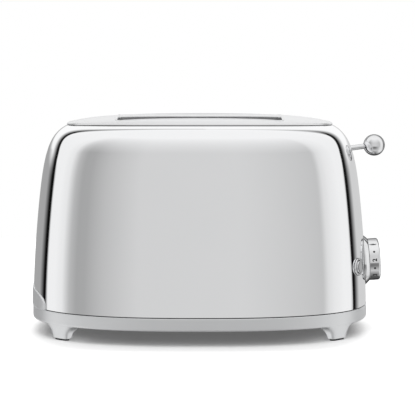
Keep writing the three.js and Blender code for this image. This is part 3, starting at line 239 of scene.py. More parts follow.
# %% [markdown]
# ## The floor
#
# The toaster stands on a white table that ends a hand's width or two in front of it. The table is matt, so it keeps a
# soft shadow under the base. It could be lit until it turns white, but then the toaster would be lit too much as well.
# Instead a little light of its own is mixed in for the camera, which lifts the lit part to white and leaves the shadow
# grey. Past the base's outline that light grows, so the shadow stays under the toaster instead of spreading as a haze.
# A mirrored ray goes through the table to the tent, whose lower half has the tones of the table's surroundings. Seen
# from below the table is clear too, so that the underside can be looked at.

# %% Make the floor
floor_half = 0.62
floor_mesh = bpy.data.meshes.new("floor")
floor_mesh.from_pydata([(-floor_half, -floor_half, 0), (floor_half, -floor_half, 0), (floor_half, floor_half, 0),
                        (-floor_half, floor_half, 0)], [], [(0, 1, 2, 3)])
floor = bpy.data.objects.new("floor", floor_mesh)
bpy.context.scene.collection.objects.link(floor)

# %% Paint it
matt_white = bpy.data.materials.new("matt_white_laminate")
matt_white.use_nodes = True
paint = matt_white.node_tree
paint.nodes.clear()
laminate = add(paint, "ShaderNodeBsdfPrincipled", inputs={
    "Base Color": light_of("#F6F6F6"), "Roughness": 0.9, "Specular IOR Level": 0.0})
path = add(paint, "ShaderNodeLightPath")

# %% Let it glow a little for the camera, and more past the shadow
shadow_half_length, shadow_half_depth = 155, 125
fade_start, fade_end = 0.8, 1.02
glow_under, glow_beside = 0.1, 0.36
on_table = add(paint, "ShaderNodeTexCoord").outputs["Object"]
in_shadow = add(paint, "ShaderNodeMapping", inputs={
    "Vector": on_table, "Location": (-base_middle / shadow_half_length, 0, 0),
    "Scale": (1 / (shadow_half_length * MM), 1 / (shadow_half_depth * MM), 0)})
squares = add(paint, "ShaderNodeVectorMath", {"operation": "MULTIPLY"},
              {0: in_shadow.outputs[0], 1: in_shadow.outputs[0]})
reach = add(paint, "ShaderNodeVectorMath", {"operation": "LENGTH"}, {0: squares.outputs[0]}).outputs["Value"]
glow_there = add(paint, "ShaderNodeMapRange", inputs={
    "Value": reach, "From Min": fade_start, "From Max": fade_end, "To Min": glow_under, "To Max": glow_beside})
camera_glow = add(paint, "ShaderNodeMath", {"operation": "MULTIPLY"},
                  {0: path.outputs["Is Camera Ray"], 1: glow_there.outputs[0]})
glowing = add(paint, "ShaderNodeEmission", inputs={"Color": (1, 1, 1, 1), "Strength": camera_glow.outputs[0]})
lit_laminate = add(paint, "ShaderNodeAddShader", inputs={0: laminate.outputs[0], 1: glowing.outputs[0]})
mirrored = add(paint, "ShaderNodeMath", {"operation": "MAXIMUM"},
               {0: path.outputs["Is Glossy Ray"], 1: path.outputs["Is Transmission Ray"]})
from_below = add(paint, "ShaderNodeNewGeometry").outputs["Backfacing"]
passing = add(paint, "ShaderNodeMath", {"operation": "MAXIMUM"}, {0: mirrored.outputs[0], 1: from_below})
clear = add(paint, "ShaderNodeBsdfTransparent")
tabletop = add(paint, "ShaderNodeMixShader", inputs={
    0: passing.outputs[0], 1: lit_laminate.outputs[0], 2: clear.outputs[0]})
add(paint, "ShaderNodeOutputMaterial", inputs={"Surface": tabletop.outputs[0]})
floor_mesh.materials.append(matt_white)
print("the floor is", 2 * floor_half, "metres wide and its paint has", len(paint.nodes), "nodes")

# %% [markdown]
# ## One lamp
#
# The tent alone lights the toaster from all round. A wide soft lamp overhead gives the shadow under the base its
# core. Metal would show the lamp as a hard white square, which the picture doesn't have, so the lamp is hidden
# from mirrored rays.

# %% Hang the lamp
lamp_width, lamp_power, lamp_height, lamp_forward = 1.4, 6, 1.3, 0.15
lamp_data = bpy.data.lights.new("overhead", "AREA")
lamp_data.shape = "DISK"
lamp_data.size = lamp_width
lamp_data.energy = lamp_power
lamp = bpy.data.objects.new("overhead", lamp_data)
lamp.location = (0, -lamp_forward, lamp_height)
lamp.visible_glossy = False
bpy.context.scene.collection.objects.link(lamp)
print("the lamp hangs", lamp_height, "metres up")

# %% [markdown]
# ## Making and rounding pieces
#
# Every piece is a mesh made from points and faces in the drawing's millimetres. A few helpers are enough: one makes
# the piece and hands it to the body it moves with, one fills the quads between two rings of points, and one rounds
# hard edges, because no real edge is perfectly sharp and the rounding is what catches the light.

# %% Make a piece from points and faces
smooth_angle = math.radians(32)


def make_piece(name, points, faces, body="housing", replaced=(), slot=None):
    mesh = bpy.data.meshes.new(name)
    mesh.from_pydata([place(*point) for point in points], [], faces)
    piece = bpy.data.objects.new(name, mesh)
    bpy.context.scene.collection.objects.link(piece)
    face_outward(piece)
    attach(piece, body)
    if replaced:
        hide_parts(*replaced)
    print(name, "has", len(mesh.polygons), "faces and rides on", body)
    return piece


def face_outward(piece):
    work = bmesh.new()
    work.from_mesh(piece.data)
    bmesh.ops.remove_doubles(work, verts=work.verts, dist=0.00001)
    bmesh.ops.recalc_face_normals(work, faces=work.faces)
    for edge in work.edges:
        edge.smooth = len(edge.link_faces) != 2 or edge.calc_face_angle(0) < smooth_angle
    for face in work.faces:
        face.smooth = True
    work.to_mesh(piece.data)
    work.free()


# %% Fill the faces between rings
def between(rings, loop=False):
    count = len(rings[0])
    points = [point for ring in rings for point in ring]
    faces = []
    for i in range(len(rings) if loop else len(rings) - 1):
        here, above = i * count, (i + 1) % len(rings) * count
        for j in range(count):
            after = (j + 1) % count
            faces.append((here + j, here + after, above + after, above + j))
    return points, faces


def capped(rings):
    points, faces = between(rings)
    count = len(rings[0])
    faces.append(tuple(reversed(range(count))))
    faces.append(tuple(range(len(points) - count, len(points))))
    return points, faces


def joined(*shapes):
    points, faces = [], []
    for more_points, more_faces in shapes:
        start = len(points)
        points += more_points
        faces += [tuple(start + corner for corner in face) for face in more_faces]
    return points, faces


# %% Apply modifiers, round edges, and cut
def settle(piece):
    shaped = bpy.data.meshes.new_from_object(piece.evaluated_get(bpy.context.evaluated_depsgraph_get()))
    piece.modifiers.clear()
    piece.data = shaped


def round_edges(piece, width, steps=3, angle=35):
    bevel = piece.modifiers.new("rounded", "BEVEL")
    bevel.width = width * MM
    bevel.segments = steps
    bevel.limit_method = "ANGLE"
    bevel.angle_limit = math.radians(angle)
    bevel.harden_normals = False
    settle(piece)
    face_outward(piece)


def loose(points, faces):
    mesh = bpy.data.meshes.new("cutter")
    mesh.from_pydata([place(*point) for point in points], [], faces)
    cutter = bpy.data.objects.new("cutter", mesh)
    bpy.context.scene.collection.objects.link(cutter)
    face_outward(cutter)
    return cutter


def combine(piece, tools, operation="DIFFERENCE"):
    for tool in tools:
        step = piece.modifiers.new("cut", "BOOLEAN")
        step.object = tool
        step.operation = operation
        step.solver = "EXACT"
    settle(piece)
    for tool in tools:
        bpy.data.objects.remove(tool)
    face_outward(piece)


# %% [markdown]
# A cut leaves thin odd-shaped faces along its edge, and on a mirror each of them would show as a kink. So the mirror's
# normals are remembered before the cut and given back after it: each corner of the cut mesh looks up the nearest
# place on the uncut one.

# %% Remember a surface's normals and give them back
def remember(piece):
    mesh = piece.data
    corners = [vertex.co.copy() for vertex in mesh.vertices]
    faces = [tuple(face.vertices) for face in mesh.polygons]
    normals = [[mesh.corner_normals[i].vector.copy() for i in face.loop_indices] for face in mesh.polygons]
    return BVHTree.FromPolygons(corners, faces), corners, faces, normals


def restore(piece, memory):
    tree, corners, faces, normals = memory
    mesh = piece.data
    given, restored = [], 0
    for face in mesh.polygons:
        middle = face.center
        for i in face.loop_indices:
            own = mesh.corner_normals[i].vector.copy()
            spot = mesh.vertices[mesh.loops[i].vertex_index].co.lerp(middle, 0.01)
            near, way, index, distance = tree.find_nearest(spot)
            if distance < 0.00002 and way.dot(face.normal) > 0.95:
                shares = poly_3d_calc([corners[corner] for corner in faces[index]], near)
                own = sum((share * normal for share, normal in zip(shares, normals[index])), Vector()).normalized()
                restored += 1
            given.append(own)
    mesh.normals_split_custom_set(given)
    print(piece.name, "has", len(given), "corners,", restored, "of them with a remembered normal")


# %% [markdown]
# ## Ovals
#
# The base, the shell and the top plate all have the same kind of outline, fuller than an ellipse and softer than a
# rounded rectangle: a superellipse. Its power says how full it is. The points are spaced evenly by the angle that
# they are seen at from the middle, which keeps the faces near the corners small.

# %% An oval ring
def oval(half_x, half_y, power, count=288):
    ring = []
    for i in range(count):
        angle = (i + 0.5) / count * 2 * math.pi
        cosine, sine = math.cos(angle), math.sin(angle)
        reach = (abs(cosine / half_x) ** power + abs(sine / half_y) ** power) ** (-1 / power)
        ring.append((reach * cosine, reach * sine))
    return ring


# %% [markdown]
# ## The shell's form
#
# The shell is one sheet of stainless steel, drawn over a form and polished to a mirror. Seen from the front it leans
# in a little as it rises and turns over a wide shoulder, and so it does seen from the side, with slightly smaller
# sizes. It could be sculpted, but a mirror shows every dent, so each point is worked out by a formula instead: one
# curve for the end, one for the front, and an oval between them at every height.

# %% The shell's measures
corner_power = 2.5
shell_bottom = 26.0
shell_half_length, shell_half_depth = 154.5, 97.0
side_top, front_top = 194.8, 192.8
side_taper, front_taper, taper_power = 0.10, 0.09, 1.6
shoulder_power = 10
wall_share = 0.85
opening_half_length, opening_half_depth = 118.8, 56.9
sheet = 1.0


def width_at(height):
    return (1 - height ** shoulder_power) ** (1 / shoulder_power)


def meridian(share, shoulder, half, top, taper, opening_half, offset):
    if shoulder:
        opening = opening_half / (half * (1 - taper))
        start = math.atan2(wall_share, width_at(wall_share))
        turn = start + share * (math.atan2(width_at(opening), opening) - start)
        reach = (math.sin(turn) ** shoulder_power + math.cos(turn) ** shoulder_power) ** (1 / shoulder_power)
        height, width = math.sin(turn) / reach, math.cos(turn) / reach
    else:
        height, width = share * wall_share, width_at(share * wall_share)
    return (half + offset) * (1 - taper * height ** taper_power) * width, \
        shell_bottom + height * (top + offset - shell_bottom)


# %% One ring of the shell
def shell_ring(share, shoulder, offset, count=288):
    half_x, side_z = meridian(share, shoulder, shell_half_length, side_top, side_taper, opening_half_length, offset)
    half_y, front_z = meridian(share, shoulder, shell_half_depth, front_top, front_taper, opening_half_depth, offset)
    return [(x, y, front_z + abs(x / half_x) ** corner_power * (side_z - front_z))
            for x, y in oval(half_x, half_y, corner_power, count)]


def shell_rings(offset, wall_steps=18, shoulder_steps=30, count=288):
    rings = [shell_ring(i / wall_steps, False, offset, count) for i in range(wall_steps)]
    return rings + [shell_ring(i / shoulder_steps, True, offset, count) for i in range(shoulder_steps + 1)]


# %% [markdown]
# The lever's slot, the dial and the buttons all sit on the right end of the shell, which curves both ways. They need
# to know where that wall is at a given width and height, and which way it faces there.

# %% Where the end wall is
def wall_x(y, z, offset=0.0):
    side_height = max(z - shell_bottom, 0) / (side_top + offset - shell_bottom)
    front_height = max(z - shell_bottom, 0) / (front_top + offset - shell_bottom)
    half_x = (shell_half_length + offset) * (1 - side_taper * side_height ** taper_power) * width_at(side_height)
    half_y = (shell_half_depth + offset) * (1 - front_taper * front_height ** taper_power) * width_at(front_height)
    return half_x * (1 - abs(y / half_y) ** corner_power) ** (1 / corner_power)


def wall_seat(y, z):
    slope_y = wall_x(y + 0.5, z) - wall_x(y - 0.5, z)
    slope_z = wall_x(y, z + 0.5) - wall_x(y, z - 0.5)
    out = Vector((1, -slope_y, -slope_z)).normalized()
    across = Vector((0, 0, 1)).cross(out).normalized()
    up = out.cross(across)
    seat = Matrix((across, up, out)).transposed().to_4x4()
    seat.translation = Vector((wall_x(y, z), y, z))
    return seat


dial_z = 63.6
button_y = 45.0
dial_seat = wall_seat(0, dial_z)
button_seats = {"front": wall_seat(-button_y, dial_z), "rear": wall_seat(button_y, dial_z)}
print("the wall behind the dial is at x =", round(dial_seat.translation.x, 2))


# %% [markdown]
# ## Turned pieces
#
# The dial, its boss, the buttons, the ball and the screws are turned on a lathe, or look as if they were. Such a piece
# is a profile of radius and height carried round an axis. The seat says where the axis stands.

# %% Carry a profile round an axis
def turned(profile, seat, count=96, hollow=False):
    rings = [[(radius * math.cos(2 * math.pi * i / count), radius * math.sin(2 * math.pi * i / count), height)
              for i in range(count)] for radius, height in profile]
    points, faces = between(rings, loop=True) if hollow else capped(rings)
    return [tuple(seat @ Vector(point)) for point in points], faces


def arc(middle_radius, middle_height, radius, start, end, steps=8):
    turns = [math.radians(start + (end - start) * i / steps) for i in range(steps + 1)]
    return [(middle_radius + radius * math.cos(turn), middle_height + radius * math.sin(turn)) for turn in turns]


# %% [markdown]
# ## Cutters for the shell
#
# The shell has a slot for the lever, an arch for the crumb tray's front, a hole behind the dial and one behind each
# button. Each is cut by a prism with the hole's outline.

# %% Outlines of the openings
lever_ball_x, lever_ball_z, lever_rise = 161.4, 170.8, math.radians(7.5)
lever_travel = 62.0
stem_radius = 2.35
slot_half_width, slot_room = 3.3, 1.6
inner_x = 84.01
base_top = 25.2
tray_half_width, tray_height, tray_power = 54.0, 17.0, 3.0


def stem_z(x):
    return lever_ball_z + (x - lever_ball_x) * math.tan(lever_rise)


def rounded_box(half_x, half_y, radius, x=0.0, y=0.0, steps=10):
    outline = []
    for quarter, (sign_x, sign_y) in enumerate([(1, 1), (-1, 1), (-1, -1), (1, -1)]):
        for i in range(steps + 1):
            turn = (quarter + i / steps) * math.pi / 2
            outline.append((x + sign_x * (half_x - radius) + radius * math.cos(turn),
                            y + sign_y * (half_y - radius) + radius * math.sin(turn)))
    return outline


def tray_arch(grow, floor_z, steps=96):
    outline = []
    for i in range(steps + 1):
        turn = math.pi * i / steps
        cosine, sine = math.cos(turn), max(math.sin(turn), 0)
        outline.append(((tray_half_width + grow) * math.copysign(abs(cosine) ** (2 / tray_power), cosine),
                        base_top + 0.3 + (tray_height + grow) * sine ** (2 / tray_power)))
    return outline + [(-tray_half_width - grow, floor_z), (tray_half_width + grow, floor_z)]


def prism_along_x(outline, start, end):
    return capped([[(x, y, z) for y, z in outline] for x in (start, end)])


# %% Draw a round hole
dial_hole, button_hole, hole_depth = 5, 7, 6
past_the_end, under_the_deck = 170, 4


def round_hole(seat, radius):
    turns = [math.pi * i / 24 for i in range(48)]
    return loose(*capped([[tuple(seat @ Vector((radius * math.cos(turn), radius * math.sin(turn), height)))
                           for turn in turns] for height in (-hole_depth, hole_depth)]))


# %% Draw the shell and cut its openings
outside = shell_rings(0.0)
inside = list(reversed(shell_rings(-sheet)))
shell = make_piece("shell_drawn_steel", *between(outside + inside, loop=True), replaced=["outer_shell"],
                   slot="chrome")
shell_memory = remember(shell)
slot_top = stem_z(wall_x(0, lever_ball_z)) + stem_radius + slot_room
slot_bottom = stem_z(wall_x(0, lever_ball_z - lever_travel)) - lever_travel - stem_radius - slot_room
slot_half_height, slot_middle = (slot_top - slot_bottom) / 2, (slot_top + slot_bottom) / 2
lever_slot = rounded_box(slot_half_width, slot_half_height, slot_half_width, 0, slot_middle)
hole_cutters = [
    loose(*prism_along_x(lever_slot, inner_x, past_the_end)),
    loose(*prism_along_x(tray_arch(0.3, base_top - under_the_deck), -past_the_end, -inner_x)),
    round_hole(dial_seat, dial_hole)]
hole_cutters += [round_hole(seat, button_hole) for seat in button_seats.values()]
combine(shell, hole_cutters)
restore(shell, shell_memory)

# %% Lay a black strip in the seam: painted shade, a dark sheet that darkens the gap between base and shell
seam_strip = [oval(shell_half_length - inset, shell_half_depth - inset, corner_power) for inset in (0.7, 2.2)]
strip_rings = [[(x, y, z) for x, y in seam_strip[side]] for side, z in
               ((0, base_top + 0.05), (0, shell_bottom - 0.05), (1, shell_bottom - 0.05), (1, base_top + 0.05))]
make_piece("seam_strip", *between(strip_rings, loop=True), slot="black_plastic")

# %% [markdown]
# ## The base
#
# The base is a zinc casting with a satin lacquer: a skirt with a rounded lower edge, a deck for the shell to stand on,
# and four short legs that flow into it. The skirt is a stack of ovals. Each leg is a small oval that is bent along the
# skirt's outline and grows outward where it meets the base, as a cast leg does for strength.

# %% The base's measures
base_half_length, base_half_depth = 155.0, 97.5
base_bottom, base_wall, base_edge, base_deck = 13.3, 6.0, 2.0, 2.4
lip_height, lip_wall = 3.0, 1.4
pad_top = 1.0
leg_middle_x, leg_half_width, leg_depth, leg_draft, leg_fillet, leg_power = 128.0, 11.5, 11.0, 2.8, 8.5, 5.0
leg_face_inset, leg_foot_inset, leg_chamfer = 0.3, 1.6, 1.0


def base_ring(inset, z):
    return [(x, y, z) for x, y in oval(base_half_length - inset, base_half_depth - inset, corner_power)]


# %% Skirt, deck and the lip inside the shell
top_round = 0.8
skirt_profile = [(base_wall, base_bottom)]
skirt_profile += [(base_edge - r, z) for r, z in arc(0, base_bottom + base_edge, base_edge, -90, 0, 10)]
skirt_profile += [(0, base_bottom + base_edge + 0.3), (0, base_top - top_round - 0.3)]
skirt_profile += [(top_round - r, z) for r, z in arc(0, base_top - top_round, top_round, 0, 90, 6)]
skirt_profile += [(base_wall, base_top)]
skirt_rings = [base_ring(inset, z) for inset, z in skirt_profile]
base = make_piece("base_casting", *between(skirt_rings, loop=True), replaced=["base_frame"], slot="satin_silver")


def lip_ring(inset, z):
    return [(x, y, z) for x, y in
            oval(shell_half_length - sheet - 0.3 - inset, shell_half_depth - sheet - 0.3 - inset, corner_power)]


deck_rings = [[(x, y, z) for x, y, _ in base_ring(base_wall / 2, 0)] for z in (base_top - base_deck, base_top)]
lip_rings = [lip_ring(0, base_top - base_deck), lip_ring(0, base_top + lip_height),
             lip_ring(lip_wall, base_top + lip_height), lip_ring(lip_wall, base_top - base_deck)]
deck = loose(*capped(deck_rings))
lip = loose(*between(lip_rings, loop=True))


# %% Four legs
def outline_point(turn, inset, x_sign, y_sign):
    cosine, sine = math.cos(turn), math.sin(turn)
    return (x_sign * (base_half_length - inset) * math.copysign(abs(cosine) ** (2 / corner_power), cosine),
            y_sign * (base_half_depth - inset) * math.copysign(abs(sine) ** (2 / corner_power), sine))


def leg_ring(x_sign, y_sign, outer, inner, half_width, z, count=48):
    middle = math.acos((leg_middle_x / base_half_length) ** (corner_power / 2))
    before, after = outline_point(middle - 0.01, 0, 1, 1), outline_point(middle + 0.01, 0, 1, 1)
    speed = math.dist(before, after) / 0.02
    ring = []
    for i in range(count):
        turn = 2 * math.pi * i / count
        cosine, sine = math.cos(turn), math.sin(turn)
        along = half_width / speed * math.copysign(abs(cosine) ** (2 / leg_power), cosine)
        inset = (outer + inner) / 2 - (inner - outer) / 2 * math.copysign(abs(sine) ** (2 / leg_power), sine)
        ring.append(outline_point(middle + along, inset, x_sign, y_sign) + (z,))
    return ring


def leg_rings(x_sign, y_sign):
    bottom = pad_top + 0.3
    heights = [(bottom + leg_chamfer * (1 - math.sin(t)), leg_chamfer * (1 - math.cos(t)))
               for t in [math.pi / 2 * (1 - i / 5) for i in range(6)]]
    heights += [(base_bottom - leg_fillet * (1 - math.sin(math.pi / 2 * i / 10)), 0) for i in range(11)]
    heights.append((base_top - base_deck / 2, 0))
    rings = []
    for z, trim in heights:
        down = min(max((base_bottom - z) / (base_bottom - bottom), 0), 1)
        rise = min(max(z - (base_bottom - leg_fillet), 0), leg_fillet)
        flare = leg_fillet - math.sqrt(leg_fillet ** 2 - rise ** 2)
        rings.append(leg_ring(x_sign, y_sign, leg_face_inset + down * leg_foot_inset + trim,
                              leg_face_inset + leg_depth - down * leg_draft + flare - trim,
                              leg_half_width - down * leg_draft + flare - trim, z))
    return rings


legs = [loose(*capped(leg_rings(x_sign, y_sign))) for x_sign in (-1, 1) for y_sign in (-1, 1)]
combine(base, [deck, lip] + legs, "UNION")
print("the base has", len(base.data.polygons), "faces")

# %% Open the deck under the slots and behind the tray
tray_pan_half = 44.0
window_end_margin, window_side_margin, window_corner, above_the_deck = 18, 10, 8, 8
window = rounded_box(inner_x - window_end_margin, tray_pan_half - window_side_margin, window_corner)
window_cutter = loose(*capped([[(x, y, z) for x, y in window]
                               for z in (base_top - base_deck - under_the_deck, base_top + above_the_deck)]))
way_half = tray_half_width + 0.6
tray_way = loose(*capped([[(x, y, z) for x, y in
                           [(-past_the_end, -way_half), (-inner_x, -way_half), (-inner_x, way_half),
                            (-past_the_end, way_half)]]
                          for z in (base_top, base_top + above_the_deck)]))
combine(base, [window_cutter, tray_way])

# %% [markdown]
# ## The top plate
#
# The plate is pressed from sheet with a satin finish. It is crowned, falls away toward its two tips, rolls down at its
# rim and stands on the shell with a hair of space all round. The two slots are punched out, and their edges are rolled
# over into a bead, so that no bread and no finger meets a raw edge. The beads are made as pieces of their own that
# follow the plate's crown, because a bead that is part of the plate would need its whole mesh to be laid out round
# the slots.

# %% The plate's measures
plate_half_length, plate_half_depth, plate_power = 122.4, 60.5, 2.3
plate_crest, tip_drop, front_drop = 198.4, 6.4, 4.4
tip_power, front_power = 5, 5
plate_sheet, rim_radius, plate_skirt = 1.4, 1.3, 9.0
slot_half_length, slot_half_depth, slot_corner, slot_centre = 75.01, 15.0, 6.0, 27.0
bead_radius, bead_sink = 1.2, 0.75


def plate_z(x, y):
    along, across = abs(x / plate_half_length) ** plate_power, abs(y / plate_half_depth) ** plate_power
    reach = (along + across) ** (1 / plate_power)
    tipward = along / (along + across) if reach > 0 else 0
    drop = tip_drop * tipward + front_drop * (1 - tipward)
    return plate_crest - drop * reach ** (tip_power * tipward + front_power * (1 - tipward))


# %% Press the plate
def plate_ring(inset, lift, share=1.0):
    ring = oval((plate_half_length - inset) * share, (plate_half_depth - inset) * share, plate_power)
    return [(x, y, plate_z(x, y) + lift) for x, y in ring]


shares = [0.004, 0.06] + [i / 24 for i in range(3, 23)]
rim = [(rim_radius - r, z) for r, z in arc(0, -rim_radius, rim_radius, 90, 0, 8)]
plate_rings = [plate_ring(0, 0, share) for share in shares] + [plate_ring(inset, lift) for inset, lift in rim]
plate_rings += [plate_ring(0, -plate_skirt), plate_ring(plate_sheet, -plate_skirt),
                plate_ring(plate_sheet, -plate_sheet)]
plate_rings += [plate_ring(0, -plate_sheet, share) for share in reversed(shares)]
plate = make_piece("top_plate_satin", *capped(plate_rings), replaced=["top_plate"], slot="satin_silver")
plate_memory = remember(plate)

# %% Punch the slots and trim the skirt to the shell
slot_cutters = [loose(*capped([[(x, y, z) for x, y in rounded_box(slot_half_length, slot_half_depth, slot_corner,
                                                                 0, sign * slot_centre)]
                               for z in (plate_crest - 12, plate_crest + 6)])) for sign in (-1, 1)]
under_plate = shell_rings(0.3, count=144)
combine(plate, slot_cutters + [loose(*capped(under_plate))])
restore(plate, plate_memory)


# %% Roll the beads
def slot_path(sign, steps=12, long_steps=40, short_steps=6):
    path = []
    inner_half_x, inner_half_y = slot_half_length - slot_corner, slot_half_depth - slot_corner
    corners = [(1, 1), (-1, 1), (-1, -1), (1, -1)]
    for quarter, (x_sign, y_sign) in enumerate(corners):
        for i in range(steps + 1):
            turn = (quarter + i / steps) * math.pi / 2
            way = Vector((math.cos(turn), math.sin(turn)))
            path.append((Vector((x_sign * inner_half_x, y_sign * inner_half_y)) + slot_corner * way, way))
        start, way = path[-1]
        next_x, next_y = corners[(quarter + 1) % 4]
        end = Vector((next_x * inner_half_x, next_y * inner_half_y)) + slot_corner * way
        count = long_steps if quarter % 2 == 0 else short_steps
        path += [(start.lerp(end, i / count), way) for i in range(1, count)]
    return [(point + Vector((0, sign * slot_centre)), way) for point, way in path]


bead_section = [(0.6 + bead_radius * math.cos(math.radians(a)), bead_radius * math.sin(math.radians(a)))
                for a in range(-20, 201, 20)] + [(-0.6, -6.0), (0.1, -6.0), (0.4, -0.6)]
for side, sign in (("front", -1), ("rear", 1)):
    path = slot_path(sign)
    rings = [[(point.x + way.x * out, point.y + way.y * out, plate_z(point.x, point.y) - bead_sink + up)
              for point, way in path] for out, up in bead_section]
    make_piece(f"slot_bead_{side}", *between(rings, loop=True), slot="satin_silver")

# %% [markdown]
# ## The crumb tray's front
#
# A low arch closes the tray's way at the left end. It follows the shell's curve a millimetre proud of it, and its
# edge is rounded. It is a small curved sheet: the arch's outline is filled with rings that shrink to its middle, and
# each point is pushed out to the wall.

# %% Shape the arch
tray_proud, tray_sheet = 1.0, 2.4
arch_outline = tray_arch(0, base_top + 0.3)[:-2]
arch_outline += [(-tray_half_width + 2 * tray_half_width * i / 40, base_top + 0.3) for i in range(1, 40)]
arch_middle = (0, base_top + 0.3 + tray_height / 2)


def arch_rings(offset, shares):
    rings = []
    for share in shares:
        ring = []
        for y, z in arch_outline:
            y, z = arch_middle[0] + share * (y - arch_middle[0]), arch_middle[1] + share * (z - arch_middle[1])
            ring.append((-wall_x(y, z, offset), y, z))
        rings.append(ring)
    return rings


arch_shares = [0.02] + [i / 12 for i in range(1, 13)]
rings = arch_rings(tray_proud, arch_shares) + arch_rings(tray_proud - tray_sheet, list(reversed(arch_shares)))
tray_front = make_piece("tray_front_arch", *capped(rings), body="tray", replaced=["crumb_tray_front"],
                        slot="satin_silver")
round_edges(tray_front, 0.6, 4, 50)

# %% [markdown]
# ## The dial
#
# The browning dial turns on a boss that fills the wedge between the flat dial and the curved wall. Both are
# chrome-plated. The dial is a shallow drum with a rounded front edge and a dished face, and its rim carries the
# numbers one to six with a dot between each two.

# %% Turn the boss and fit it to the wall
boss_foot, boss_top, boss_height = 23.2, 20.4, 3.5
boss_bore, boss_round = 3.3, 0.5


def lay_on_wall(points, seat, lift=0.3):
    laid = []
    for point in points:
        local = seat.inverted() @ Vector(point)
        if local.z < 0:
            x = wall_x(point[1], point[2]) + lift
            laid.append((x, point[1], point[2]))
        else:
            laid.append(point)
    return laid


boss_profile = [(boss_bore, -1), (boss_foot, -1), (boss_foot - 0.15, 0.25)]
boss_profile += arc(boss_top - boss_round, boss_height - boss_round, boss_round, 30, 90, 4) + [(boss_bore, boss_height)]
points, faces = turned(boss_profile, dial_seat, hollow=True)
make_piece("dial_boss", lay_on_wall(points, dial_seat), faces, replaced=["knob_escutcheon"], slot="chrome")

# %% Turn the dial
dial_low, dial_height, dial_radius = 3.8, 10.1, 19.4
dial_high = dial_low + dial_height
dial_profile = [(3.4, dial_low + 3), (3.4, dial_low + 0.4), (5.4, dial_low + 0.4), (5.4, dial_high - 3),
                (16.6, dial_high - 3.4), (17.4, dial_high - 4.2), (17.4, dial_low), (dial_radius - 0.6, dial_low)]
dial_profile += arc(dial_radius - 0.5, dial_low + 0.5, 0.5, -60, 0, 4)
dial_profile += arc(dial_radius - 2.2, dial_high - 2.2, 2.2, 0, 90, 12)
dial_profile += [(16.4, dial_high)] + arc(15.6, dial_high - 0.5, 0.5, 80, 110, 3)
dial_profile += [(12, dial_high - 0.62), (6, dial_high - 0.66), (0.5, dial_high - 0.68)]
points, faces = turned(dial_profile, dial_seat, 128)
make_piece("browning_dial", points, faces, body="knob", replaced=["browning_knob"], slot="chrome")

# %% [markdown]
# The numbers are pad-printed in black. Blender's own font gives their outline. Each is filled, turned so that its top
# points at the toaster, and wrapped round the rim a few hundredths of a millimetre above the chrome.

# %% Print the numbers and dots
print_lift = 0.04
number_height, dot_radius = 4.3, 1.0
number_pitch = 46.0
first_number = 51.5


def onto_rim(along, across, middle_angle):
    angle = math.radians(middle_angle) + across / dial_radius
    radius = dial_radius + print_lift
    local = Vector((-radius * math.cos(angle), radius * math.sin(angle), dial_low + 0.45 * dial_height + along))
    return tuple(dial_seat @ local)


def flat_number(text):
    curve = bpy.data.curves.new("number", "FONT")
    curve.body = text
    curve.align_x, curve.align_y = "CENTER", "CENTER"
    curve.size = 1.0
    curve.offset = 0.035
    holder = bpy.data.objects.new("number", curve)
    bpy.context.scene.collection.objects.link(holder)
    mesh = bpy.data.meshes.new_from_object(holder.evaluated_get(bpy.context.evaluated_depsgraph_get()))
    bpy.data.objects.remove(holder)
    work = bmesh.new()
    work.from_mesh(mesh)
    bmesh.ops.subdivide_edges(work, edges=work.edges, cuts=1)
    corners = [(vertex.co.x, vertex.co.y) for vertex in work.verts]
    faces = [[vertex.index for vertex in face.verts] for face in work.faces]
    work.free()
    return corners, faces


printed = ([], [])
for number in range(6):
    flat, faces = flat_number(str(number + 1))
    low = min(y for _, y in flat)
    tall = max(y for _, y in flat) - low
    scale = number_height / tall
    angle = first_number - number_pitch * number
    printed = joined(printed, ([onto_rim(-(y - low - tall / 2) * scale, x * scale, angle) for x, y in flat], faces))
    dot = [(dot_radius * math.cos(math.pi * i / 12), dot_radius * math.sin(math.pi * i / 12)) for i in range(24)]
    printed = joined(printed, ([onto_rim(x, y, angle - number_pitch / 2) for x, y in dot], [tuple(range(24))]))
numbers = make_piece("dial_numbers", *printed, body="knob", slot="black_plastic")
print("the dial's print has", len(numbers.data.polygons), "faces")

# %% [markdown]
# ## The push buttons
#
# Each button is a small chrome cap that slides in a bezel. The bezel's flange lies on the curved wall like the boss.

# %% Bezels and caps
bezel_radius, bezel_lip, cap_radius, cap_top = 8.0, 1.5, 5.6, 2.6
bezel_bore, bezel_tube, button_depth, cap_stem, cap_back = 5.9, 6.7, 7, 2.2, 3.5
for side, seat in button_seats.items():
    flange = [(bezel_bore, -button_depth), (bezel_tube, -button_depth), (bezel_tube, -1), (bezel_radius, -1)] \
        + arc(bezel_radius - 0.7, bezel_lip - 0.7, 0.7, 0, 90, 6) + arc(6.3, bezel_lip - 0.35, 0.35, 90, 180, 4)
    points, faces = turned(flange, seat, 64, hollow=True)
    ring_points = [point if (seat.inverted() @ Vector(point)).z < -2 else lay_on_wall([point], seat)[0]
                   for point in points]
    make_piece(f"bezel_{side}", ring_points, faces, replaced=[f"button_bezel_{side}"], slot="chrome")

    cap = [(0.5, -button_depth), (cap_stem, -button_depth), (cap_stem, -cap_back), (cap_radius, -cap_back)] \
        + arc(cap_radius - 0.6, cap_top - 0.6, 0.6, 0, 80, 6) + [(3, cap_top), (0.5, cap_top)]
    points, faces = turned(cap, seat, 64)
    make_piece(f"cap_{side}", points, faces, body=f"button_{side}", replaced=[f"button_cap_{side}"], slot="chrome")

# %% [markdown]
# ## The lever
#
# A polished stem comes out of the slot and ends in a ball. A thin collar hides the joint between them, as on most
# levers of this kind, where the ball is screwed on.

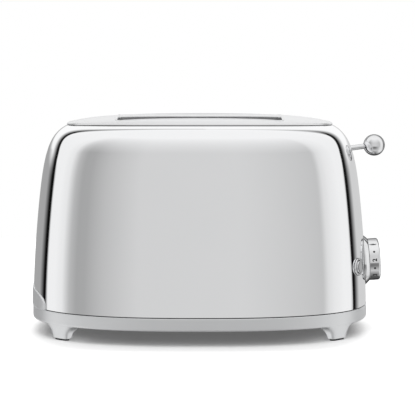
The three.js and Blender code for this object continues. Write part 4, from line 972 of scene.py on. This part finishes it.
# %% Stem and ball
lever_seat = Matrix.Translation((lever_ball_x, 0, lever_ball_z)) @ Matrix.Rotation(math.pi / 2 - lever_rise, 4, "Y")
ball_radius = 9.9
inner_end = -(lever_ball_x - 113.0) / math.cos(lever_rise)
stem_profile = [(0.5, inner_end), (stem_radius, inner_end), (stem_radius, -9.2), (0.5, -9.2)]
points, faces = turned(stem_profile, lever_seat, 48)
make_piece("lever_stem_polished", points, faces, body="carriage", replaced=["lever_stem"], slot="chrome")
ball_profile = arc(0, 0, ball_radius, -74, 87, 48)
ball_profile = [(0.5, -8.8), (2.66, -8.8), (2.66, -9.55)] + ball_profile
points, faces = turned(ball_profile, lever_seat, 96)
make_piece("lever_ball_polished", points, faces, body="carriage", replaced=["lever_ball"], slot="chrome")

# %% [markdown]
# ## Bread guards
#
# Four wire grids stand in the bread chamber, two for each slice. Looking down into a slot they are the first thing
# seen. Each is a set of straight wires welded at their crossings, so every wire is a thin tube.

# %% Bend the wires
guard_places = {"guard_front_outer": -40.2, "guard_front_inner": -13.8, "guard_rear_inner": 13.8,
                "guard_rear_outer": 40.2}
wire_radius, guard_half_length, guard_bottom, guard_height = 0.8, 74.01, 43.0, 122.0
wire_tip, tip_length = 0.6, 0.3


def rod_between(start, end, radius, count=16):
    start, end = Vector(start), Vector(end)
    way = (end - start).normalized()
    side = way.orthogonal().normalized()
    other = way.cross(side)
    stations = [(start, wire_tip), (start + way * tip_length, 1.0), (end - way * tip_length, 1.0), (end, wire_tip)]
    return capped([[tuple(point + radius * share * (side * math.cos(2 * math.pi * i / count)
                                                    + other * math.sin(2 * math.pi * i / count)))
                    for i in range(count)] for point, share in stations])


for name, y in guard_places.items():
    wires = [rod_between((-inner_x - 2.2, y, guard_bottom), (inner_x + 2.2, y, guard_bottom), wire_radius)]
    for share in (0.34, 0.67, 1.0):
        z = guard_bottom + share * guard_height
        wires.append(rod_between((-guard_half_length, y, z), (guard_half_length, y, z), wire_radius))
    bar_half = guard_half_length - 2 * wire_radius
    for i in range(7):
        x = -bar_half + 2 * bar_half * i / 6
        wires.append(rod_between((x, y, guard_bottom), (x, y, guard_bottom + guard_height), wire_radius))
    make_piece(f"{name}_wires", *joined(*wires), body=name, replaced=[name], slot="zinc_steel")

# %% [markdown]
# ## The return spring
#
# A long wire spring on the guide rod pushes the carriage up. When the lever goes down the spring shortens, which no
# rigid piece can do. Here it is wound once, at its full length, and given a mesh of its own.

# %% Wind the spring
rod_x, spring_radius, spring_wire, spring_turns = 102.01, 5.4, 0.6, 11
spring_low, spring_high = base_top + 0.3 + spring_wire, 108.0 - 0.3 - spring_wire
steps = spring_turns * 28
spring_rings = []
for i in range(steps + 1):
    turn = 2 * math.pi * i / 28
    out = Vector((math.cos(turn), math.sin(turn), 0))
    middle = Vector((rod_x, 0, spring_low + (spring_high - spring_low) * i / steps)) + out * spring_radius
    spring_rings.append([tuple(middle + spring_wire * (out * math.cos(a) + Vector((0, 0, 1)) * math.sin(a)))
                         for a in [2 * math.pi * k / 10 for k in range(10)]])
spring = make_piece("return_spring_wire", *capped(spring_rings), replaced=["return_spring"], slot="zinc_steel")
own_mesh(spring)

# %% [markdown]
# ## Screws
#
# Four screws hold the bottom cover. Their pan heads have a cross recess, which is only seen from below.

# %% Turn the screws and cut the crosses
screw_places = {"front_left": (-84, -66), "front_right": (84, -66), "rear_left": (-84, 66), "rear_right": (84, 66)}
screw_under, screw_head_height, screw_head, screw_shank, screw_tip = 14.7, 1.6, 3.4, 1.6, 21.2
for corner, (x, y) in screw_places.items():
    low = screw_under - screw_head_height
    profile = [(0.5, low + 0.05), (1.9, low + 0.05)] + arc(screw_head - 1.0, low + 1.05, 1.0, -80, 0, 6) \
        + [(screw_head, screw_under), (screw_shank, screw_under), (screw_shank, screw_tip - 1), (0.9, screw_tip),
           (0.5, screw_tip)]
    points, faces = turned(profile, Matrix.Translation((x, y, 0)), 32)
    screw = make_piece(f"screw_{corner}", points, faces, replaced=[f"bottom_screw_{corner}"], slot="zinc_steel")
    arms = []
    for half_x, half_y in ((1.9, 0.4), (0.4, 1.9)):
        arms.append(loose(*capped([[(x + dx, y + dy, z) for dx, dy in
                                    ((-half_x, -half_y), (half_x, -half_y), (half_x, half_y), (-half_x, half_y))]
                                   for z in (low - 1, low + 1.1)])))
    combine(screw, arms)

# %% [markdown]
# ## Finishes
#
# Each finish starts from the real material. All patterns are worked out from a size in millimetres and use the
# piece's own coordinates, so they stay where they are when the piece moves.

# %% Start a finish
def new_finish(name):
    material = bpy.data.materials.new(name)
    material.use_nodes = True
    tree = material.node_tree
    tree.nodes.clear()
    shader = add(tree, "ShaderNodeBsdfPrincipled")
    add(tree, "ShaderNodeOutputMaterial", inputs={"Surface": shader.outputs[0]})
    place_on = add(tree, "ShaderNodeTexCoord").outputs["Object"]
    print("mixing", name)
    return material, tree, shader, place_on


def per_metre(size):
    return 1000 / size


def set_shader(tree, shader, inputs):
    for socket, value in inputs.items():
        if isinstance(value, bpy.types.NodeSocket):
            tree.links.new(value, shader.inputs[socket])
        else:
            shader.inputs[socket].default_value = value


# %% [markdown]
# ## Polished chrome
#
# Bright chromium plate over buffed steel: almost colourless and very smooth. Buffing leaves a faint unevenness of
# the gloss in patches of a few centimetres, and the drawn sheet is never quite flat.

# %% Mix it: polished chrome
chrome, tree, shader, spot = new_finish("buffed_chromium_plate")
patches = add(tree, "ShaderNodeTexNoise", inputs={"Vector": spot, "Scale": per_metre(45), "Detail": 3.0})
gloss = add(tree, "ShaderNodeMapRange", inputs={"Value": patches.outputs[0], "To Min": 0.025, "To Max": 0.06})
tint = add(tree, "ShaderNodeMix", {"data_type": "RGBA"},
           {"Factor": patches.outputs[0], "A": light_of("#F8F9FA"), "B": light_of("#FBFBFC")})
waviness = add(tree, "ShaderNodeTexNoise", inputs={"Vector": spot, "Scale": per_metre(30), "Detail": 1.0})
ripple = add(tree, "ShaderNodeBump", inputs={"Height": waviness.outputs[0], "Strength": 0.04, "Distance": 0.0002})
set_shader(tree, shader, {"Base Color": tint.outputs["Result"], "Metallic": 1.0, "Roughness": gloss.outputs[0],
                          "Normal": ripple.outputs[0]})

# %% [markdown]
# ## Hard chrome on the turned pieces
#
# The small turned pieces are plated thicker and not buffed after it: a shade darker where they are seen edge-on.

# %% Mix it: hard chrome on the turned pieces
hard_chrome, tree, shader, spot = new_finish("hard_chromium_plate")
lathe_marks = add(tree, "ShaderNodeTexNoise", inputs={"Vector": spot, "Scale": per_metre(3), "Detail": 2.0})
gloss = add(tree, "ShaderNodeMapRange", inputs={"Value": lathe_marks.outputs[0], "To Min": 0.03, "To Max": 0.07})
tint = add(tree, "ShaderNodeMix", {"data_type": "RGBA"},
           {"Factor": lathe_marks.outputs[0], "A": light_of("#EFF0F1"), "B": light_of("#F6F6F7")})
set_shader(tree, shader, {"Base Color": tint.outputs["Result"], "Metallic": 1.0, "Roughness": gloss.outputs[0],
                          "Specular Tint": light_of("#202020")})

# %% [markdown]
# ## Satin casting
#
# Zinc alloy, die-cast, blasted and lacquered in silver: a fine even grain that spreads reflections into soft light.

# %% Mix it: satin casting
satin_cast, tree, shader, spot = new_finish("satin_lacquered_zinc_casting")
grain = add(tree, "ShaderNodeTexNoise", inputs={"Vector": spot, "Scale": per_metre(0.5), "Detail": 2.0})
cloud = add(tree, "ShaderNodeTexNoise", inputs={"Vector": spot, "Scale": per_metre(35), "Detail": 3.0})
tint = add(tree, "ShaderNodeMix", {"data_type": "RGBA"},
           {"Factor": cloud.outputs[0], "A": light_of("#EDEEEF"), "B": light_of("#F3F4F5")})
gloss = add(tree, "ShaderNodeMapRange", inputs={"Value": grain.outputs[0], "To Min": 0.42, "To Max": 0.5})
bump = add(tree, "ShaderNodeBump", inputs={"Height": grain.outputs[0], "Strength": 0.12, "Distance": 0.0001})
set_shader(tree, shader, {"Base Color": tint.outputs["Result"], "Metallic": 1.0, "Roughness": gloss.outputs[0],
                          "Normal": bump.outputs[0]})

# %% [markdown]
# ## Satin sheet
#
# Stainless sheet, pressed and brushed lightly along its length before it is coated: finer than the casting, with a
# faint run along the plate.

# %% Mix it: satin sheet
satin_sheet, tree, shader, spot = new_finish("satin_brushed_stainless")
run_length, run_width = 18, 0.5
stretch = add(tree, "ShaderNodeMapping", inputs={
    "Vector": spot, "Scale": (per_metre(run_length), per_metre(run_width), per_metre(run_width))})
brush = add(tree, "ShaderNodeTexNoise", inputs={"Vector": stretch.outputs[0], "Scale": 1.0, "Detail": 3.0})
tint = add(tree, "ShaderNodeMix", {"data_type": "RGBA"},
           {"Factor": brush.outputs[0], "A": light_of("#EAEBEC"), "B": light_of("#F2F2F3")})
gloss = add(tree, "ShaderNodeMapRange", inputs={"Value": brush.outputs[0], "To Min": 0.28, "To Max": 0.40})
bump = add(tree, "ShaderNodeBump", inputs={"Height": brush.outputs[0], "Strength": 0.05, "Distance": 0.0001})
set_shader(tree, shader, {"Base Color": tint.outputs["Result"], "Metallic": 1.0, "Roughness": gloss.outputs[0],
                          "Normal": bump.outputs[0]})

# %% [markdown]
# ## Zinc-plated steel
#
# Pressed steel with bright zinc plate: grey with a cool cast and a faint crystal pattern of a few millimetres.

# %% Mix it: zinc-plated steel
zinc_plate, tree, shader, spot = new_finish("zinc_plated_pressed_steel")
crystals = add(tree, "ShaderNodeTexVoronoi", inputs={"Vector": spot, "Scale": per_metre(4)})
tint = add(tree, "ShaderNodeMix", {"data_type": "RGBA"},
           {"Factor": crystals.outputs["Color"], "A": light_of("#A9ADB1"), "B": light_of("#C3C6C9")})
gloss = add(tree, "ShaderNodeMapRange", inputs={"Value": crystals.outputs["Distance"], "To Min": 0.28, "To Max": 0.42})
set_shader(tree, shader, {"Base Color": tint.outputs["Result"], "Metallic": 1.0, "Roughness": gloss.outputs[0]})

# %% [markdown]
# ## Rubber
#
# Moulded rubber, spark-eroded mould: matt and almost black, with a fine pebble grain.

# %% Mix it: rubber
rubber, tree, shader, spot = new_finish("moulded_rubber")
pebble = add(tree, "ShaderNodeTexVoronoi", inputs={"Vector": spot, "Scale": per_metre(0.7)})
tint = add(tree, "ShaderNodeMix", {"data_type": "RGBA"},
           {"Factor": pebble.outputs["Distance"], "A": light_of("#262627"), "B": light_of("#323233")})
bump = add(tree, "ShaderNodeBump", inputs={"Height": pebble.outputs["Distance"], "Strength": 0.3, "Distance": 0.0001})
set_shader(tree, shader, {"Base Color": tint.outputs["Result"], "Roughness": 0.82, "Normal": bump.outputs[0]})

# %% [markdown]
# ## Mica
#
# Heater boards are mica flakes pressed with a binder: a mottled grey-gold, with flakes of two to six millimetres that
# each catch the light a little differently.

# %% Mix it: mica
mica, tree, shader, spot = new_finish("pressed_mica_board")
flakes = add(tree, "ShaderNodeTexVoronoi", inputs={"Vector": spot, "Scale": per_metre(4)})
veins = add(tree, "ShaderNodeTexNoise", inputs={"Vector": spot, "Scale": per_metre(12), "Detail": 4.0})
mottled = add(tree, "ShaderNodeMix", {"data_type": "FLOAT"},
              {"Factor": 0.5, "A": flakes.outputs["Distance"], "B": veins.outputs[0]})
tint = add(tree, "ShaderNodeMix", {"data_type": "RGBA"},
           {"Factor": mottled.outputs["Result"], "A": light_of("#A58E6B"), "B": light_of("#D2C3A2")})
gloss = add(tree, "ShaderNodeMapRange", inputs={"Value": flakes.outputs["Distance"], "To Min": 0.3, "To Max": 0.6})
set_shader(tree, shader, {"Base Color": tint.outputs["Result"], "Roughness": gloss.outputs[0]})

# %% [markdown]
# ## Nichrome ribbon
#
# Rolled resistance ribbon that has been hot: dull metal with a straw to brown oxide bloom.

# %% Mix it: nichrome ribbon
nichrome, tree, shader, spot = new_finish("oxidised_nichrome_ribbon")
bloom = add(tree, "ShaderNodeTexNoise", inputs={"Vector": spot, "Scale": per_metre(9), "Detail": 3.0})
tint = add(tree, "ShaderNodeMix", {"data_type": "RGBA"},
           {"Factor": bloom.outputs[0], "A": light_of("#6F655C"), "B": light_of("#8F8A84")})
gloss = add(tree, "ShaderNodeMapRange", inputs={"Value": bloom.outputs[0], "To Min": 0.35, "To Max": 0.55})
set_shader(tree, shader, {"Base Color": tint.outputs["Result"], "Metallic": 1.0, "Roughness": gloss.outputs[0]})

# %% [markdown]
# ## Copper winding
#
# Enamelled copper wire wound on the magnet, 0.4 mm thick. It is drawn as rings of 0.8 mm, which still show.

# %% Mix it: copper winding
copper, tree, shader, spot = new_finish("enamelled_copper_winding")
rings_of_wire = add(tree, "ShaderNodeTexWave", {"wave_type": "BANDS", "bands_direction": "Z"},
                    {"Vector": spot, "Scale": per_metre(0.8) / 20, "Distortion": 0.3})
tint = add(tree, "ShaderNodeMix", {"data_type": "RGBA"},
           {"Factor": rings_of_wire.outputs["Fac"], "A": light_of("#7C3F22"), "B": light_of("#C9784C")})
bump = add(tree, "ShaderNodeBump", inputs={"Height": rings_of_wire.outputs["Fac"], "Strength": 0.5, "Distance": 0.0002})
set_shader(tree, shader, {"Base Color": tint.outputs["Result"], "Metallic": 1.0, "Roughness": 0.32,
                          "Coat Weight": 0.4, "Normal": bump.outputs[0]})

# %% [markdown]
# ## Circuit board
#
# Glass-fibre laminate with a green solder mask: slightly glossy, with the weave and the copper tracks just showing.

# %% Mix it: circuit board
laminate_board, tree, shader, spot = new_finish("green_masked_fibre_laminate")
weave = add(tree, "ShaderNodeTexBrick", inputs={"Vector": spot, "Scale": per_metre(6), "Color1": light_of("#1E5A38"),
                                                "Color2": light_of("#236641"), "Mortar": light_of("#2F7A50")})
set_shader(tree, shader, {"Base Color": weave.outputs["Color"], "Roughness": 0.35})

# %% [markdown]
# ## Black plastic
#
# Moulded phenolic or polyamide with a fine texture from the mould: dark, with a soft broad sheen.

# %% Mix it: black plastic
black_moulding, tree, shader, spot = new_finish("textured_black_polyamide")
skin_grain = add(tree, "ShaderNodeTexNoise", inputs={"Vector": spot, "Scale": per_metre(0.6), "Detail": 2.0})
tint = add(tree, "ShaderNodeMix", {"data_type": "RGBA"},
           {"Factor": skin_grain.outputs[0], "A": light_of("#19191A"), "B": light_of("#242425")})
bump = add(tree, "ShaderNodeBump", inputs={"Height": skin_grain.outputs[0], "Strength": 0.2, "Distance": 0.0001})
set_shader(tree, shader, {"Base Color": tint.outputs["Result"], "Roughness": 0.5, "Normal": bump.outputs[0]})

# %% [markdown]
# ## Printing ink
#
# Pad-printed two-part ink: black, thin and a little uneven in its gloss.

# %% Mix it: printing ink
ink, tree, shader, spot = new_finish("pad_printed_black_ink")
film = add(tree, "ShaderNodeTexNoise", inputs={"Vector": spot, "Scale": per_metre(1.5), "Detail": 2.0})
tint = add(tree, "ShaderNodeMix", {"data_type": "RGBA"},
           {"Factor": film.outputs[0], "A": light_of("#0C0C0D"), "B": light_of("#161617")})
set_shader(tree, shader, {"Base Color": tint.outputs["Result"], "Roughness": 0.45})

# %% [markdown]
# ## Dress every piece
#
# New pieces are dressed by name. The solids that stay are dressed by the finish that the drawing names for them.

# %% New pieces
dress = {
    chrome: ["shell_drawn_steel"],
    hard_chrome: ["dial_boss", "browning_dial", "bezel_front", "bezel_rear", "cap_front", "cap_rear",
                  "lever_stem_polished", "lever_ball_polished"],
    satin_cast: ["base_casting", "tray_front_arch"],
    satin_sheet: ["top_plate_satin", "slot_bead_front", "slot_bead_rear"],
    zinc_plate: [f"{name}_wires" for name in guard_places] + [f"screw_{corner}" for corner in screw_places]
    + ["return_spring_wire"],
    # the black strip in the seam is painted shade
    black_moulding: ["seam_strip"],
    ink: ["dial_numbers"],
}
for material, names in dress.items():
    for name in names:
        piece = bpy.data.objects[name]
        piece.data.materials.clear()
        piece.data.materials.append(material)

# %% Solids that stay
finish_of_slot = {"satin_silver": satin_cast, "chrome": chrome, "zinc_steel": zinc_plate, "rubber": rubber,
                  "mica": mica, "nichrome": nichrome, "copper": copper, "circuit_board": laminate_board,
                  "black_plastic": black_moulding}
dressed = 0
for name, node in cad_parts.items():
    for slot in node.material_slots:
        wanted = next((key for key in finish_of_slot if slot.material and key in slot.material.name), None)
        if wanted:
            slot.material = finish_of_slot[wanted]
            dressed += 1
print(dressed, "finishes on the solids that stay")
